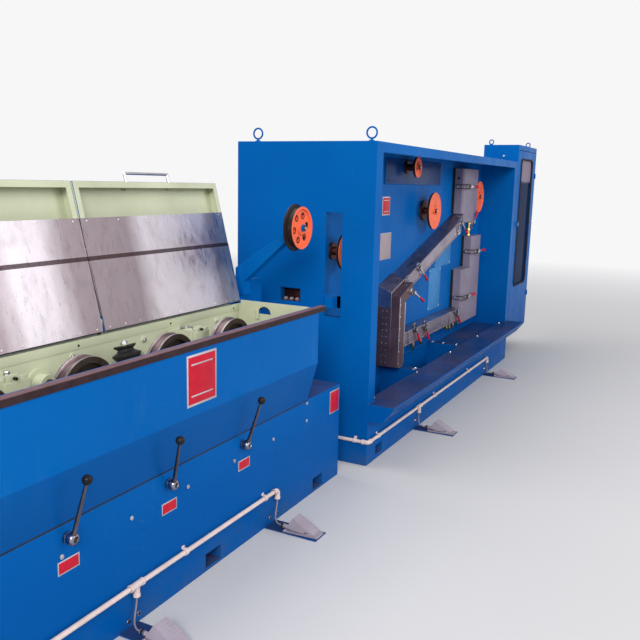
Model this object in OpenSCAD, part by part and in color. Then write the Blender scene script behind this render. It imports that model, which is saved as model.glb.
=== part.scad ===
// Wire drawing machine with its in-line annealer and dancer tower, in millimetres.
// X runs along the machine towards the outlet, Y to the back, Z up, with the
// origin in the middle of the drawing base's underside.

/* [Drawing base] */
// Length of the base
base_l = 2430; // [2300:10:2600]
// Depth of the base, front to back
base_d = 1130; // [1080:10:1300]
// Height of the base
base_h = 540; // [500:5:600]
// Width of an anchor pocket
pocket_w = 112; // [90:2:140]
// Top of an anchor pocket above the floor
pocket_top = 78; // [70:2:95]
// Depth of an anchor pocket into the base
pocket_d = 90; // [80:2:110]
// Spacing of the anchor pockets along the base
pocket_pitch = 967; // [900:1:1000]
// Thickness of the foot plate in a pocket
foot_plate_t = 14; // [10:1:18]
// Bore for an anchor bolt
anchor_bore = 22; // [18:1:26]

/* [Gear housing] */
// Height of the housing behind the tray
housing_h = 557; // [520:5:600]
// Distance from the base's front to the housing's front
housing_set = 525; // [520:5:560]

/* [Tray] */
// Length of the tray
tray_l = 2020; // [1980:10:2040]
// Distance from the tray's right end to the base's right end
tray_set = 387; // [360:1:420]
// How far the tray's front stands out past the base
tray_overhang = 57; // [40:1:80]
// Height of the tray's lower fold above the base
tray_fold = 205; // [180:5:240]
// Height of the tray's front edge and ends above the base
tray_rim = 489; // [480:1:510]
// Height of the tray's back wall above the base
tray_back = 470; // [460:1:476]
// Width of the trough between front and back walls
trough_w = 472; // [460:2:480]
// Thickness of the tray's walls
tray_wall = 6; // [4:1:8]
// Width of the flange along the front edge
flange_w = 44; // [38:1:56]
// Reach of the front flange past the tray's right end
flange_over = 65; // [30:5:100]
// Depth of the rubber strip on the front edge
strip_w = 32; // [26:1:36]
// Height of the rubber strip's front face
strip_h = 26; // [20:1:32]
// Thickness of the rubber strip
strip_t = 4; // [3:1:5]

/* [Lids] */
// Length of a lid along its slope
lid_h = 634; // [600:2:660]
// Depth of a lid's frame
lid_d = 55; // [50:1:60]
// Lean of an open lid from upright, in degrees
lid_lean = 14.4; // [10:0.2:18]
// Width of the gap between two lids
lid_gap = 12; // [12:1:16]
// Width of the lip round a lid's frame
lid_lip = 28; // [20:1:36]
// Thickness of a lid's sheet
lid_t = 3; // [2:0.5:4]
// Height of the lid axis above the base
lid_axis = 523; // [520:1:530]
// Distance from the lid axis to the inner face of the lid
lid_axis_d = 12; // [11:1:16]
// Diameter of a lid's hinge pin
lid_pin = 12; // [10:1:14]
// Height of the liner up to its joggle
liner_low = 295; // [280:5:310]
// Height of the whole liner
liner_h = 474; // [450:2:500]
// Width between the feet of a lid handle
handle_w = 300; // [240:10:340]
// Reach of a lid handle past the lid's edge
handle_out = 52; // [40:2:60]
// Diameter of a lid handle's rod
handle_rod = 14; // [12:1:16]

/* [Levers] */
// Height of the lever hubs
lever_z = 487; // [450:1:500]
// Spacing of the levers
lever_pitch = 520; // [480:5:560]
// Length of a lever from its hub to its knob
lever_l = 250; // [220:5:270]
// Diameter of a lever's hub
lever_hub = 40; // [34:1:46]
// Diameter of a lever's rod
lever_rod = 12; // [10:1:14]
// Diameter of a lever's knob
knob_d = 35; // [30:1:40]
// Outward lean of a lever, in degrees
lever_out = 22; // [20:1:26]

/* [Capstans] */
// Diameter of a capstan's flanges
capstan_d = 276; // [260:2:290]
// Width of a capstan
capstan_w = 52; // [44:2:60]
// Height of the capstan shafts
capstan_z = 881; // [872:1:890]
// Distance from the back wall to a capstan
capstan_set = 261; // [250:1:275]
// Diameter of a capstan's shaft
shaft_d = 50; // [40:2:60]
// Lean of the guide roller from upright, in degrees
roller_lean = 16; // [10:1:20]

/* [Annealer] */
// Gap between the drawing base and the annealer
annealer_gap = 197; // [180:1:260]
// Length of the annealer
annealer_l = 3321; // [3250:1:3400]
// Height of the annealer
annealer_h = 1884; // [1860:1:1950]
// Distance from the tray's front plane to the annealer's front, outwards
annealer_out = 35; // [20:1:60]
// Depth of the open front bay, from the front to the mounting wall
bay_d = 317; // [305:1:340]
// Depth of the closed cabinet behind the mounting wall
cabinet_d = 600; // [520:10:700]
// Width of the left post
post_w = 93; // [80:1:110]
// Width of the right post
right_post_w = 103; // [90:1:120]
// Height of the header over the bay
header_h = 59; // [50:1:80]
// Height of the sill
sill_h = 380; // [360:5:400]
// Reach of the sill in front of the posts
sill_out = 163; // [150:1:180]

/* [Pulleys] */
// Diameter of a large wire pulley
pulley_d = 276; // [250:2:290]
// Diameter of the small wire pulley
small_pulley_d = 142; // [120:2:160]
// Diameter of the arm pulley's back flange
arm_pulley_d = 246; // [220:2:260]
// Distance from the mounting wall to a pulley's front face
pulley_out = 100; // [96:1:110]
// Diameter of a pulley's spindle
spindle_d = 24; // [20:1:30]

/* [Tower] */
// Length of the tower
tower_l = 762; // [720:2:820]
// Depth of the tower, front to back
tower_d = 332; // [310:2:400]
// Height of the tower
tower_h = 2040; // [2000:5:2150]
// Height of the recessed plinth under the tower
tower_foot = 240; // [220:5:300]
// Distance from the tower's front to the plinth's front
plinth_set = 200; // [180:5:240]
// Width of the window in the tower's door
window_w = 460; // [400:5:500]
// Height of the window in the tower's door
window_h = 1211; // [1100:5:1250]

/* [Foot switches] */
// Length of a foot switch
switch_l = 178; // [170:2:190]
// Width of a foot switch at its back
switch_w = 90; // [84:2:100]
// Height of a foot switch at its back
switch_h = 77; // [74:1:84]
// Gap between the machine's front and a foot switch
switch_gap = 100; // [90:5:120]

/* [Conduit] */
// Diameter of the conduit
conduit_d = 20; // [18:1:24]
// Height of the conduit on the drawing base
conduit_z = 165; // [150:1:180]
// Height of the conduit on the annealer
ann_conduit_z = 152; // [145:1:170]

/* [Hidden] */

blue = [0.0, 0.42, 0.7];
pale_green = [0.78, 0.83, 0.66];
steel = [0.75, 0.74, 0.74];
dark = [0.12, 0.1, 0.11];
orange = [0.95, 0.42, 0.22];
gray = [0.6, 0.6, 0.62];

// Small clearances and a cut's overshoot
fit = 0.05;
seat = 0.3;
cut = 1;

// Planes of the drawing unit
base_x = base_l / 2;
base_y = base_d / 2;
tray_x1 = base_x - tray_set;
tray_x0 = tray_x1 - tray_l;
tray_y0 = -base_y - tray_overhang;
front_in = tray_y0 + tray_wall;
tray_y1 = front_in + trough_w;
housing_y0 = -base_y + housing_set;
trough_floor = base_h + 25;
fold_z = base_h + tray_fold;
rim_z = base_h + tray_rim;
back_z = base_h + tray_back;
spine_z = back_z - 12;
// Notch in the tray's ends that a lid's foot turns through
notch = 12;
// Outlet for the wire in the right end plate
outlet_y = tray_y1 - 159;
outlet_z = base_h + 426;
outlet_d = 76;

// Lid hinge, in the frame of an upright lid whose inner face is y = 0
axis_y = tray_y1 + 20;
axis_z = base_h + lid_axis;
lid_foot = 47;
lid_l = (tray_l - lid_gap) / 2;
right_lid_x = tray_x1 - lid_l;
left_lid_x = tray_x0;
lug_gap = 2;
lug_t = lid_gap - 2 * lug_gap;
end_lug_t = 10;
mid_pin = lid_gap / 2 - 0.5;
end_pin = lug_gap + end_lug_t - cut;
lug_r = lid_pin / 2 + 5;

// Hub plane of the levers, in front of the base
lever_x = 224;
lever_tilt = [-8, -19, -5];
boss_t = 10;
hub_t = 30;
hub_y = -base_y - boss_t - seat;
spigot_d = 18;

// Places along the drawing unit
capstan_x = [-1000, -533, -40, 401];
holder_y = tray_y1 - 132;
roller_x = -198;
roller_y = tray_y1 - 145;
roller_z = capstan_z + 33;
pocket_y = pocket_d / 2;

// Planes of the annealer
ann_x0 = base_x + annealer_gap;
ann_x1 = ann_x0 + annealer_l;
ann_y0 = tray_y0 - annealer_out;
wall_y = ann_y0 + bay_d;
ann_y1 = wall_y + cabinet_d;
bay_x0 = ann_x0 + post_w;
bay_x1 = ann_x1 - right_post_w;
bay_top = annealer_h - header_h;
sill_y0 = ann_y0 - sill_out;
base_front = 270;
fascia_z = 285;
fascia_y = ann_y0 - 96;
wire_y = wall_y - pulley_out;
front_y = wall_y - 100;
post_d = 130;
end_wall_t = 50;
roof_t = 20;
guide_z = 935;
panel_t = 8;
thin_w = 18;

// Slot in the end wall
slot_y0 = wall_y - 116;
slot_y1 = wall_y - 10;
slot_z0 = 875;
slot_z1 = 1482;

// Slanted wire channel, by its ends in the X-Z plane, and the deeper hood over its low end
channel_a = [ann_x0 + 838, 868];
channel_b = [ann_x0 + 2360, 1325];
channel_w = 104;
channel_rise = 26;
hood_l = 250;
hood_rise = 42;
// Contact box: its left face, the seam between body and cover, and the cover's front
contact_x = ann_x0 + 838;
contact_w = 108;
contact_seam = front_y - seat;
contact_front = wall_y - 162;
contact_z = 400;
// Ends of the return channel
return_x0 = contact_x + contact_w + seat;
return_x1 = ann_x0 + 2453 - seat;

// Places of the pulleys: along X and up
arm_pulley_p = [ann_x0 - 442, 1415];
slot_pulley_p = [ann_x0 + 104, 1253];
top_pulley_p = [ann_x0 + 1248, 1772];
middle_pulley_p = [ann_x0 + 1654, 1457];
far_pulley_p = [ann_x0 + 2958, 1556];
// The far pulley runs beside the upper box, nearer the wall than the others
far_y = wire_y + 30;

// Foot switches: middle of each, its gland, and the offset of the drop above it
switch_x = [-536, 470, ann_x0 + 841, ann_x0 + 2580];
drop_dx = [31, 45, 10, 10];
switch_base_t = 12;
pedal_t = 6;
pedal_side = 5;
pedal_back = 46;
pedal_foot = 14;
pedal_toe = switch_l - 20;
pin_y = 42 - switch_l;
pin_z = switch_base_t + 5;
gland_dx = -22;
gland_z = 25;
gland_l = 24;
lead_d = 7;

// Runs of the conduit, its fittings and its saddle clips
conduit_y = -base_y - conduit_d / 2 - 4;
ann_conduit_y = ann_y0 - conduit_d / 2 - 4;
end_conduit_x = ann_x0 - conduit_d / 2 - 4;
fitting_d = conduit_d + 10;
tee_l = 75;
tee_drop = 46;
tee_x = [switch_x[0] + drop_dx[0], switch_x[2] + drop_dx[2]];
elbow_x = [switch_x[1] + drop_dx[1], switch_x[3] + drop_dx[3]];
clip_x = [-1050, -211, 398];
ann_clip_x = [ann_x0 + 160, ann_x0 + 1180, ann_x0 + 2010];

// Tower, its door and the door's hinges
tow_x0 = ann_x1;
tow_x1 = tow_x0 + tower_l;
tow_y1 = ann_y0 + tower_d;
tower_wall = 30;
door_t = 30;
door_edge = 40;
stile = 14;
door_gap = 5;
door_x0 = tow_x0 + stile + door_gap;
door_x1 = tow_x1 - stile - door_gap;
door_z0 = tower_foot + 40 + door_gap;
door_z1 = tower_h - 45 - door_gap;
hinge_x = door_x1 + door_gap / 2;
hinge_y = ann_y0 - 6;
hinge_z = [tower_foot + 300, tower_h - 300];
hinge_l = 50;
hinge_pin = 6;
knuckle_d = 11;
window_x = (tow_x0 + tow_x1) / 2 - 19;
window_z = 1305;

// A box given by its two corners
module block(a, b) {
    translate(a) cube([b[0] - a[0], b[1] - a[1], b[2] - a[2]]);
}

// A profile in the Y-Z plane, extruded along X from x0 to x1
module along_x(x0, x1) {
    translate([x0, 0, 0]) rotate([90, 0, 90]) linear_extrude(x1 - x0) children();
}

// A profile in the X-Z plane, extruded along Y from y0 to y1
module along_y(y0, y1) {
    translate([0, y1, 0]) rotate([90, 0, 0]) linear_extrude(y1 - y0) children();
}

// A round bar along Y from y0 to y1
module bar_y(x, z, y0, y1, d) {
    translate([x, y1, z]) rotate([90, 0, 0]) cylinder(h = y1 - y0, d = d, $fn = 64);
}

// A round bar along X from x0 to x1
module bar_x(x0, x1, y, z, d) {
    translate([x0, y, z]) rotate([0, 90, 0]) cylinder(h = x1 - x0, d = d, $fn = 48);
}

// A wheel turned about Y, from a half profile of [radius, y] points
module turned_y(x, z) {
    translate([x, 0, z]) rotate([-90, 0, 0]) rotate_extrude($fn = 96) children();
}

// Rounded rectangle by its size and corner radius, centred
module round_rect(w, h, r) {
    hull() {
        for (i = [-1, 1]) {
            for (k = [-1, 1]) {
                translate([i * (w / 2 - r), k * (h / 2 - r)]) circle(r, $fn = 32);
            }
        }
    }
}

// Pockets for the anchor bolts, front and back
module anchor_pockets() {
    for (x = [-pocket_pitch, 0, pocket_pitch]) {
        for (side = [-1, 1]) {
            y = side * (base_y - pocket_y);
            translate([x - pocket_w / 2, y - pocket_y - (side < 0 ? cut : 0), foot_plate_t])
                cube([pocket_w, pocket_d + cut, pocket_top - foot_plate_t]);
            translate([x, y, -cut])
                cylinder(h = foot_plate_t + 2 * cut, d = anchor_bore, $fn = 48);
        }
    }
}

module drawing_base() {
    color(blue) difference() {
        block([-base_x, -base_y, 0], [base_x, base_y, base_h]);
        anchor_pockets();
    }
}

module gear_housing() {
    color(blue)
        block([-base_x, housing_y0, base_h], [base_x, base_y, base_h + housing_h]);
}

// Section of the trough: slanted front, floor, back wall and the spine behind it
module trough_section() {
    polygon([[tray_y0, fold_z], [-base_y, base_h], [housing_y0, base_h], [housing_y0, spine_z],
        [tray_y1 + tray_wall, spine_z], [tray_y1 + tray_wall, back_z], [tray_y1, back_z],
        [tray_y1, trough_floor], [-base_y + tray_wall, trough_floor], [front_in, fold_z]]);
}

// Outline of an end wall: it fits between the trough's walls, under the front flange
module end_outline() {
    flange_y = tray_y0 + flange_w;
    under = rim_z - tray_wall;
    polygon([[front_in, under], [front_in, fold_z], [-base_y + tray_wall, trough_floor],
        [tray_y1, trough_floor], [tray_y1, back_z], [tray_y1 - notch, back_z],
        [tray_y1 - notch, rim_z], [flange_y, rim_z], [flange_y, under]]);
}

// A round-topped lug that holds a lid's hinge pin
module hinge_lug(x0, x1) {
    difference() {
        union() {
            block([x0, axis_y - lug_r, spine_z], [x1, axis_y + lug_r, axis_z]);
            bar_x(x0, x1, axis_y, axis_z, 2 * lug_r);
        }
        bar_x(x0 - cut, x1 + cut, axis_y, axis_z, lid_pin + 2 * fit);
    }
}

module tray() {
    mid = (tray_x0 + tray_x1) / 2;
    spine_drop = 40;
    color(pale_green) {
        difference() {
            union() {
                along_x(tray_x0, tray_x1) trough_section();
                along_x(tray_x0, tray_x0 + tray_wall) end_outline();
            }
            for (x = capstan_x) {
                bar_y(x, capstan_z, tray_y1 - cut, housing_y0 + cut, shaft_d + 6);
            }
        }
        hinge_lug(tray_x0 - lug_gap - end_lug_t, tray_x0 - lug_gap);
        hinge_lug(tray_x1 + lug_gap, tray_x1 + lug_gap + end_lug_t);
        hinge_lug(mid - lug_t / 2, mid + lug_t / 2);
        // The spine runs on under the end lugs
        block([tray_x0 - lug_gap - end_lug_t, axis_y - lug_r, spine_z - spine_drop],
            [tray_x0, housing_y0, spine_z]);
        block([tray_x1, axis_y - lug_r, spine_z - spine_drop],
            [tray_x1 + lug_gap + end_lug_t, housing_y0, spine_z]);
    }
}

// The upright front wall, with the flange along its top edge
module tray_front() {
    color(pale_green) {
        block([tray_x0, tray_y0, fold_z], [tray_x1, front_in, rim_z]);
        block([tray_x0, tray_y0, rim_z - tray_wall],
            [tray_x1 + flange_over, tray_y0 + flange_w, rim_z]);
    }
}

// The right end wall, with its round-topped outlet for the wire
module tray_end_plate() {
    color(pale_green) difference() {
        along_x(tray_x1 - tray_wall, tray_x1) end_outline();
        intersection() {
            bar_x(tray_x1 - 2 * tray_wall, tray_x1 + cut, outlet_y, outlet_z, outlet_d);
            block([tray_x1 - 2 * tray_wall, tray_y0, outlet_z], [tray_x1 + cut, tray_y1, rim_z]);
        }
    }
}

module rim_strip() {
    y0 = tray_y0 - strip_t;
    y1 = y0 + strip_w;
    z0 = rim_z + strip_t - strip_h;
    color([0.36, 0.24, 0.25]) along_x(tray_x0, tray_x1 + flange_over) polygon([
        [y0, rim_z + strip_t], [y0, z0], [tray_y0, z0], [tray_y0, rim_z], [y1, rim_z],
        [y1, rim_z + strip_t]]);
}

// Puts an upright lid, hinge axis at the origin, on its axis with its open lean
module on_lid_axis(x) {
    translate([x, axis_y, axis_z]) rotate([-lid_lean, 0, 0]) children();
}

// The lid's frame: a shallow pan whose open side faces the tray, with a lip all round
module lid_pan(left_pin, right_pin) {
    y0 = -lid_axis_d;
    y1 = y0 + lid_d;
    top = lid_h - lid_foot;
    difference() {
        block([0, y0, -lid_foot], [lid_l, y1, top]);
        block([lid_t, y0 + lid_t, lid_t - lid_foot], [lid_l - lid_t, y1 - lid_t, top - lid_t]);
        block([lid_lip, y0 - cut, lid_lip - lid_foot],
            [lid_l - lid_lip, y0 + lid_t + cut, top - lid_lip]);
    }
    // Hinge pins and the blocks that carry them
    bar_x(-left_pin, 0, 0, 0, lid_pin);
    bar_x(lid_l, lid_l + right_pin, 0, 0, lid_pin);
    for (x = [0, lid_l - lid_lip]) {
        block([x, y0, -lid_foot], [x + lid_lip, y0 + 2 * lid_axis_d, lid_axis_d]);
    }
}

// The stainless liner, with its joggle
module liner_sheet() {
    y0 = -lid_axis_d;
    z0 = -lid_foot + 4;
    step = 18;
    proud = 3;
    along_x(1, lid_l - 1) polygon([[y0, z0], [y0 - proud, z0], [y0 - proud, z0 + liner_low],
        [y0 - 1, z0 + liner_low + step], [y0 - 1, z0 + liner_h], [y0, z0 + liner_h]]);
}

// A U-shaped handle on the lid's free edge
module lid_handle() {
    y = -lid_axis_d + lid_d / 2;
    z0 = lid_h - lid_foot;
    z1 = z0 + handle_out - handle_rod / 2;
    for (side = [-1, 1]) {
        translate([lid_l / 2 + side * handle_w / 2, y, z0])
            cylinder(h = handle_out - handle_rod / 2, d = handle_rod, $fn = 32);
        translate([lid_l / 2 + side * handle_w / 2, y, z0])
            cylinder(h = 4, d = 2 * handle_rod, $fn = 32);
        translate([lid_l / 2 + side * handle_w / 2, y, z1]) sphere(d = handle_rod, $fn = 32);
    }
    bar_x(lid_l / 2 - handle_w / 2, lid_l / 2 + handle_w / 2, y, z1, handle_rod);
}

module lid_right() { color(pale_green) on_lid_axis(right_lid_x) lid_pan(mid_pin, end_pin); }
module lid_left() { color(pale_green) on_lid_axis(left_lid_x) lid_pan(end_pin, mid_pin); }
module liner_right() { color(steel) on_lid_axis(right_lid_x) liner_sheet(); }
module liner_left() { color(steel) on_lid_axis(left_lid_x) liner_sheet(); }
module handle_right() { color(steel) on_lid_axis(right_lid_x) lid_handle(); }
module handle_left() { color(steel) on_lid_axis(left_lid_x) lid_handle(); }

function lever_place(i) = lever_x - i * lever_pitch;

// A hand lever: hub on its spindle, leaning rod and ball knob
module lever(i) {
    translate([lever_place(i), hub_y, lever_z]) rotate([0, lever_tilt[i], 0]) {
        difference() {
            union() {
                rotate([90, 0, 0]) cylinder(h = hub_t, d = lever_hub, $fn = 64);
                translate([0, -hub_t / 2, 0]) rotate([lever_out, 0, 0])
                    cylinder(h = lever_l, d1 = lever_rod + 4, d2 = lever_rod - 1, $fn = 32);
            }
            translate([0, cut, 0]) rotate([90, 0, 0])
                cylinder(h = hub_t - 6 + cut, d = spigot_d + 2 * fit, $fn = 48);
        }
        translate([0, -hub_t / 2, 0]) rotate([lever_out, 0, 0])
            translate([0, 0, lever_l]) sphere(d = knob_d, $fn = 48);
    }
}

module lever_1() { color(steel) lever(0); }
module lever_2() { color(steel) lever(1); }
module lever_3() { color(steel) lever(2); }

// Round bosses on the base front, each with the spigot that its lever turns on
module lever_bosses() {
    color(dark) for (i = [0:2]) {
        bar_y(lever_place(i), lever_z, -base_y - boss_t, -base_y, lever_hub + 14);
        bar_y(lever_place(i), lever_z, hub_y - hub_t + 8, -base_y - boss_t, spigot_d);
    }
}

// A capstan: two flanges, a sunk tread, a dished face and its shaft
module capstan(x) {
    r = capstan_d / 2;
    yf = tray_y1 - capstan_set;
    yb = yf + capstan_w;
    tread = r - 9;
    color([0.45, 0.38, 0.38]) {
        turned_y(x, capstan_z) polygon([[0, yf - 8], [0, yb], [shaft_d / 2 + 14, yb],
            [shaft_d / 2 + 14, yb - 12], [r - 26, yb - 12], [r - 26, yb], [r, yb],
            [r, yb - 9], [tread, yb - 13], [tread - 4, yf + 13], [r - 2, yf + 9],
            [r - 2, yf], [r - 26, yf], [r - 30, yf + 16], [shaft_d / 2 + 22, yf + 16],
            [shaft_d / 2 + 18, yf + 3], [shaft_d / 2 - 4, yf + 3], [shaft_d / 2 - 4, yf - 8]]);
        bar_y(x, capstan_z, yb - cut, tray_y1 + 60, shaft_d);
    }
}

module capstan_1() { capstan(capstan_x[0]); }
module capstan_2() { capstan(capstan_x[1]); }
module capstan_3() { capstan(capstan_x[2]); }
module capstan_4() { capstan(capstan_x[3]); }

// Flanged bearings on the back wall that the capstan shafts run in
module capstan_bearings() {
    color(dark) for (x = capstan_x) {
        difference() {
            union() {
                bar_y(x, capstan_z, tray_y1 - 14, tray_y1, shaft_d + 70);
                bar_y(x, capstan_z, tray_y1 - 60, tray_y1, shaft_d + 34);
                bar_y(x, capstan_z, tray_y1, tray_y1 + 30, shaft_d + 5);
            }
            bar_y(x, capstan_z, tray_y1 - 60 - cut, tray_y1 + 30 + cut, shaft_d + 2 * fit);
        }
    }
}

// Puts a piece on the guide roller's leaning axis, with the roller's seat at z = 0
module on_roller_axis() {
    translate([roller_x, roller_y, roller_z]) rotate([-roller_lean, 0, 0]) children();
}

// A stepped guide roller that turns on its leaning post
module guide_roller() {
    bore = spindle_d / 2 + fit;
    color(dark) on_roller_axis() rotate_extrude($fn = 64) polygon([[bore, 0], [44, 0], [44, 8],
        [58, 28], [58, 36], [36, 46], [32, 56], [45, 64], [45, 71], [bore, 71]]);
}

// Blocks that hold the dies and the roller, on arms from the back wall
module die_holders() {
    color(pale_green) {
        for (x = [-760, 280]) {
            block([x - 52, holder_y - 30, 900], [x + 52, tray_y1, 966]);
            block([x - 72, holder_y - 22, 890], [x - 52, holder_y + 60, 980]);
            block([x + 36, holder_y - 16, 870], [x + 52, tray_y1, 948]);
        }
        on_roller_axis() {
            translate([0, 0, -24 - seat]) cylinder(h = 24, d = 72, $fn = 48);
            translate([0, 0, -10]) cylinder(h = 88, d = spindle_d, $fn = 48);
        }
        block([roller_x - 26, roller_y - 12, roller_z - 70],
            [roller_x + 26, tray_y1, roller_z - 26]);
    }
}

// A saddle clip that holds the conduit on a face in front of which it runs
module conduit_clip(x, y, z, face) {
    block([x - 9, y - conduit_d / 2 - 3, z - conduit_d / 2 - 3],
        [x + 9, face, z + conduit_d / 2 + 3]);
}

// A drop to a foot switch: a collar on the conduit that ends at end_x, and the outlet below it
module conduit_drop(x, y, z, end_x) {
    bar_x(x - tee_l / 2, end_x, y, z, fitting_d - 2);
    translate([x, y, z - tee_drop]) cylinder(h = tee_drop, d = fitting_d - 4, $fn = 32);
}

module conduits() {
    color([0.86, 0.84, 0.82]) {
        // Along the drawing base: from the left end to the elbow over the second switch
        bar_x(-base_x + 30, elbow_x[0], conduit_y, conduit_z, conduit_d);
        conduit_drop(tee_x[0], conduit_y, conduit_z, tee_x[0] + tee_l / 2);
        conduit_drop(elbow_x[0], conduit_y, conduit_z, elbow_x[0] + fitting_d / 2);
        for (x = clip_x) conduit_clip(x, conduit_y, conduit_z, -base_y);
        // Along the annealer: across the end wall's foot, round the corner, along the front
        bar_y(end_conduit_x, ann_conduit_z, ann_conduit_y - 3, ann_y0 + 188, conduit_d);
        translate([end_conduit_x, ann_conduit_y, ann_conduit_z - fitting_d / 2])
            cylinder(h = fitting_d, d = fitting_d, $fn = 32);
        bar_x(end_conduit_x + 4, elbow_x[1], ann_conduit_y, ann_conduit_z, conduit_d);
        conduit_drop(tee_x[1], ann_conduit_y, ann_conduit_z, tee_x[1] + tee_l / 2);
        conduit_drop(elbow_x[1], ann_conduit_y, ann_conduit_z, elbow_x[1] + fitting_d / 2);
        for (x = ann_clip_x) conduit_clip(x, ann_conduit_y, ann_conduit_z, ann_y0);
        block([ann_x0 - conduit_d - 7, ann_y0 + 80, ann_conduit_z - conduit_d / 2 - 3],
            [ann_x0, ann_y0 + 98, ann_conduit_z + conduit_d / 2 + 3]);
    }
}

// Front plane behind each foot switch
function switch_face(i) = i < 2 ? -base_y : ann_y0;

// Half width of a foot switch at a distance from its back
function half_w(y) = switch_w / 2 + y * 12 / switch_l;

// Cast base of a foot switch with its pedal pin and cable gland
module switch_base(i) {
    inner = half_w(pin_y) - pedal_side - cut;
    translate([switch_x[i], switch_face(i) - switch_gap, 0]) {
        linear_extrude(switch_base_t) polygon([[-half_w(0), 0], [half_w(0), 0],
            [half_w(-switch_l), -switch_l], [-half_w(-switch_l), -switch_l]]);
        // Housing under the pedal
        along_x(-inner, inner) polygon([[-34, switch_base_t], [-42, 40], [-92, 20],
            [-92, switch_base_t]]);
        // Toe block and the pedal's pin
        block([-12, pin_y - 5, switch_base_t - cut], [12, pin_y + 5, pin_z]);
        bar_x(-half_w(pin_y) + 2, half_w(pin_y) - 2, pin_y, pin_z, 6);
        // Cable gland
        bar_y(gland_dx, gland_z, -36, gland_l, 18);
    }
}

// Side outline of the pedal, from its back edge down to the toe
module pedal_side_outline() {
    toe_z = switch_base_t + 8;
    polygon([[-14, switch_base_t + pedal_foot], [-pedal_back, switch_h], [-pedal_toe, toe_z],
        [-pedal_toe, switch_base_t + 1], [pin_y + 8, switch_base_t + 1]]);
}

// Front outline of the pedal, narrower at the top, set in by the given amount
module pedal_front_outline(inset) {
    bottom = switch_w / 2 - inset;
    top = bottom - 10;
    polygon([[-bottom, 0], [bottom, 0], [top, switch_h], [-top, switch_h]]);
}

// The pedal: a wedge-shaped cast hood, open at the back, that tips about the toe pin
module pedal(i) {
    slope = (switch_h - switch_base_t - 8) / (pedal_toe - pedal_back);
    inner_toe = 6 - pedal_toe;
    inner_z = switch_base_t + 8 - pedal_t + 6 * slope;
    inner_top = switch_h - pedal_t + pedal_back * slope;
    translate([switch_x[i], switch_face(i) - switch_gap, 0]) difference() {
        intersection() {
            along_x(-switch_w, switch_w) pedal_side_outline();
            along_y(-switch_l, 0) pedal_front_outline(0);
            linear_extrude(2 * switch_h) polygon([[-half_w(0), 0], [half_w(0), 0],
                [half_w(-switch_l), -switch_l], [-half_w(-switch_l), -switch_l]]);
        }
        intersection() {
            along_x(-switch_w, switch_w) polygon([[0, 0], [0, inner_top],
                [inner_toe, inner_z], [inner_toe, 0]]);
            along_y(-switch_l, cut) pedal_front_outline(pedal_side);
            linear_extrude(2 * switch_h) polygon([[-half_w(0) + pedal_side, cut],
                [half_w(0) - pedal_side, cut], [half_w(-switch_l) - pedal_side, -switch_l],
                [pedal_side - half_w(-switch_l), -switch_l]]);
        }
        bar_x(-switch_w, switch_w, pin_y, pin_z, 6 + 2 * fit);
    }
}

// Points of a lead: straight out of the gland, round in one bend, and straight up into the tee
function lead_points(i) = let (
    y1 = i < 2 ? conduit_y : ann_conduit_y,
    z1 = (i < 2 ? conduit_z : ann_conduit_z) - tee_drop,
    a = [switch_x[i] + gland_dx, switch_face(i) - switch_gap + gland_l, gland_z],
    b = a + [0, 3, 0],
    d = [switch_x[i] + drop_dx[i], y1, z1 - 3],
    p = b + [0, 50, 0],
    q = d - [0, 0, 60])
    concat([a],
        [for (t = [0:0.0625:1]) b * pow(1 - t, 3) + p * (3 * t * pow(1 - t, 2))
            + q * (3 * t * t * (1 - t)) + d * pow(t, 3)],
        [d + [0, 0, 3]]);

// A tube of eight sides swept along points, each ring square to its neighbours' chord
module tube(pts, d) {
    n = len(pts);
    sides = 8;
    rings = [for (i = [0:n - 1]) let (
        a = pts[max(i - 1, 0)], b = pts[min(i + 1, n - 1)],
        t = (b - a) / norm(b - a),
        u0 = cross(t, [1, 0.2, 0]), u = u0 / norm(u0), v = cross(t, u))
        for (k = [0:sides - 1]) let (g = 360 * k / sides)
            pts[i] + (u * cos(g) + v * sin(g)) * d / 2];
    faces = concat(
        [[for (k = [0:sides - 1]) k]],
        [for (i = [0:n - 2]) for (k = [0:sides - 1]) let (k2 = (k + 1) % sides)
            [i * sides + k, (i + 1) * sides + k, (i + 1) * sides + k2, i * sides + k2]],
        [[for (k = [sides - 1:-1:0]) (n - 1) * sides + k]]);
    polyhedron(rings, faces);
}

module switch_leads() { color(gray) for (i = [0:3]) tube(lead_points(i), lead_d); }

module foot_switches() { color(gray) for (i = [0:3]) switch_base(i); }

module pedal_1() { color(gray) pedal(0); }
module pedal_2() { color(gray) pedal(1); }
module pedal_3() { color(gray) pedal(2); }
module pedal_4() { color(gray) pedal(3); }

// The closed cabinet behind the mounting wall, with its raised panels
module annealer_cabinet() {
    color(blue) difference() {
        union() {
            block([ann_x0, wall_y, 0], [ann_x1, ann_y1, annealer_h]);
            block([ann_x0 + 868, wall_y - panel_t, 1650], [ann_x0 + 2010, wall_y, bay_top - seat]);
        }
        // Small inspection opening in the end face
        block([ann_x0 - cut, wall_y + 151, 945], [ann_x0 + 60, wall_y + 288, 1023]);
    }
}

// The end wall with its post and the slot that the wire comes in through
module annealer_end_wall() {
    color(blue) difference() {
        union() {
            block([ann_x0, ann_y0, sill_h], [bay_x0, ann_y0 + post_d, annealer_h]);
            block([ann_x0, ann_y0 + post_d, sill_h], [ann_x0 + end_wall_t, wall_y, annealer_h]);
        }
        block([ann_x0 - cut, slot_y0, slot_z0], [ann_x0 + end_wall_t + cut, slot_y1, slot_z1]);
    }
    // Cross plate in the slot with the small box that guides the wire in
    color(blue) {
        block([ann_x0, slot_y0, guide_z - 5], [ann_x0 + 10, slot_y1, guide_z + 70]);
        block([ann_x0 - 72, wall_y - 92, guide_z], [ann_x0, wall_y - 53, guide_z + 65]);
    }
}

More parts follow.
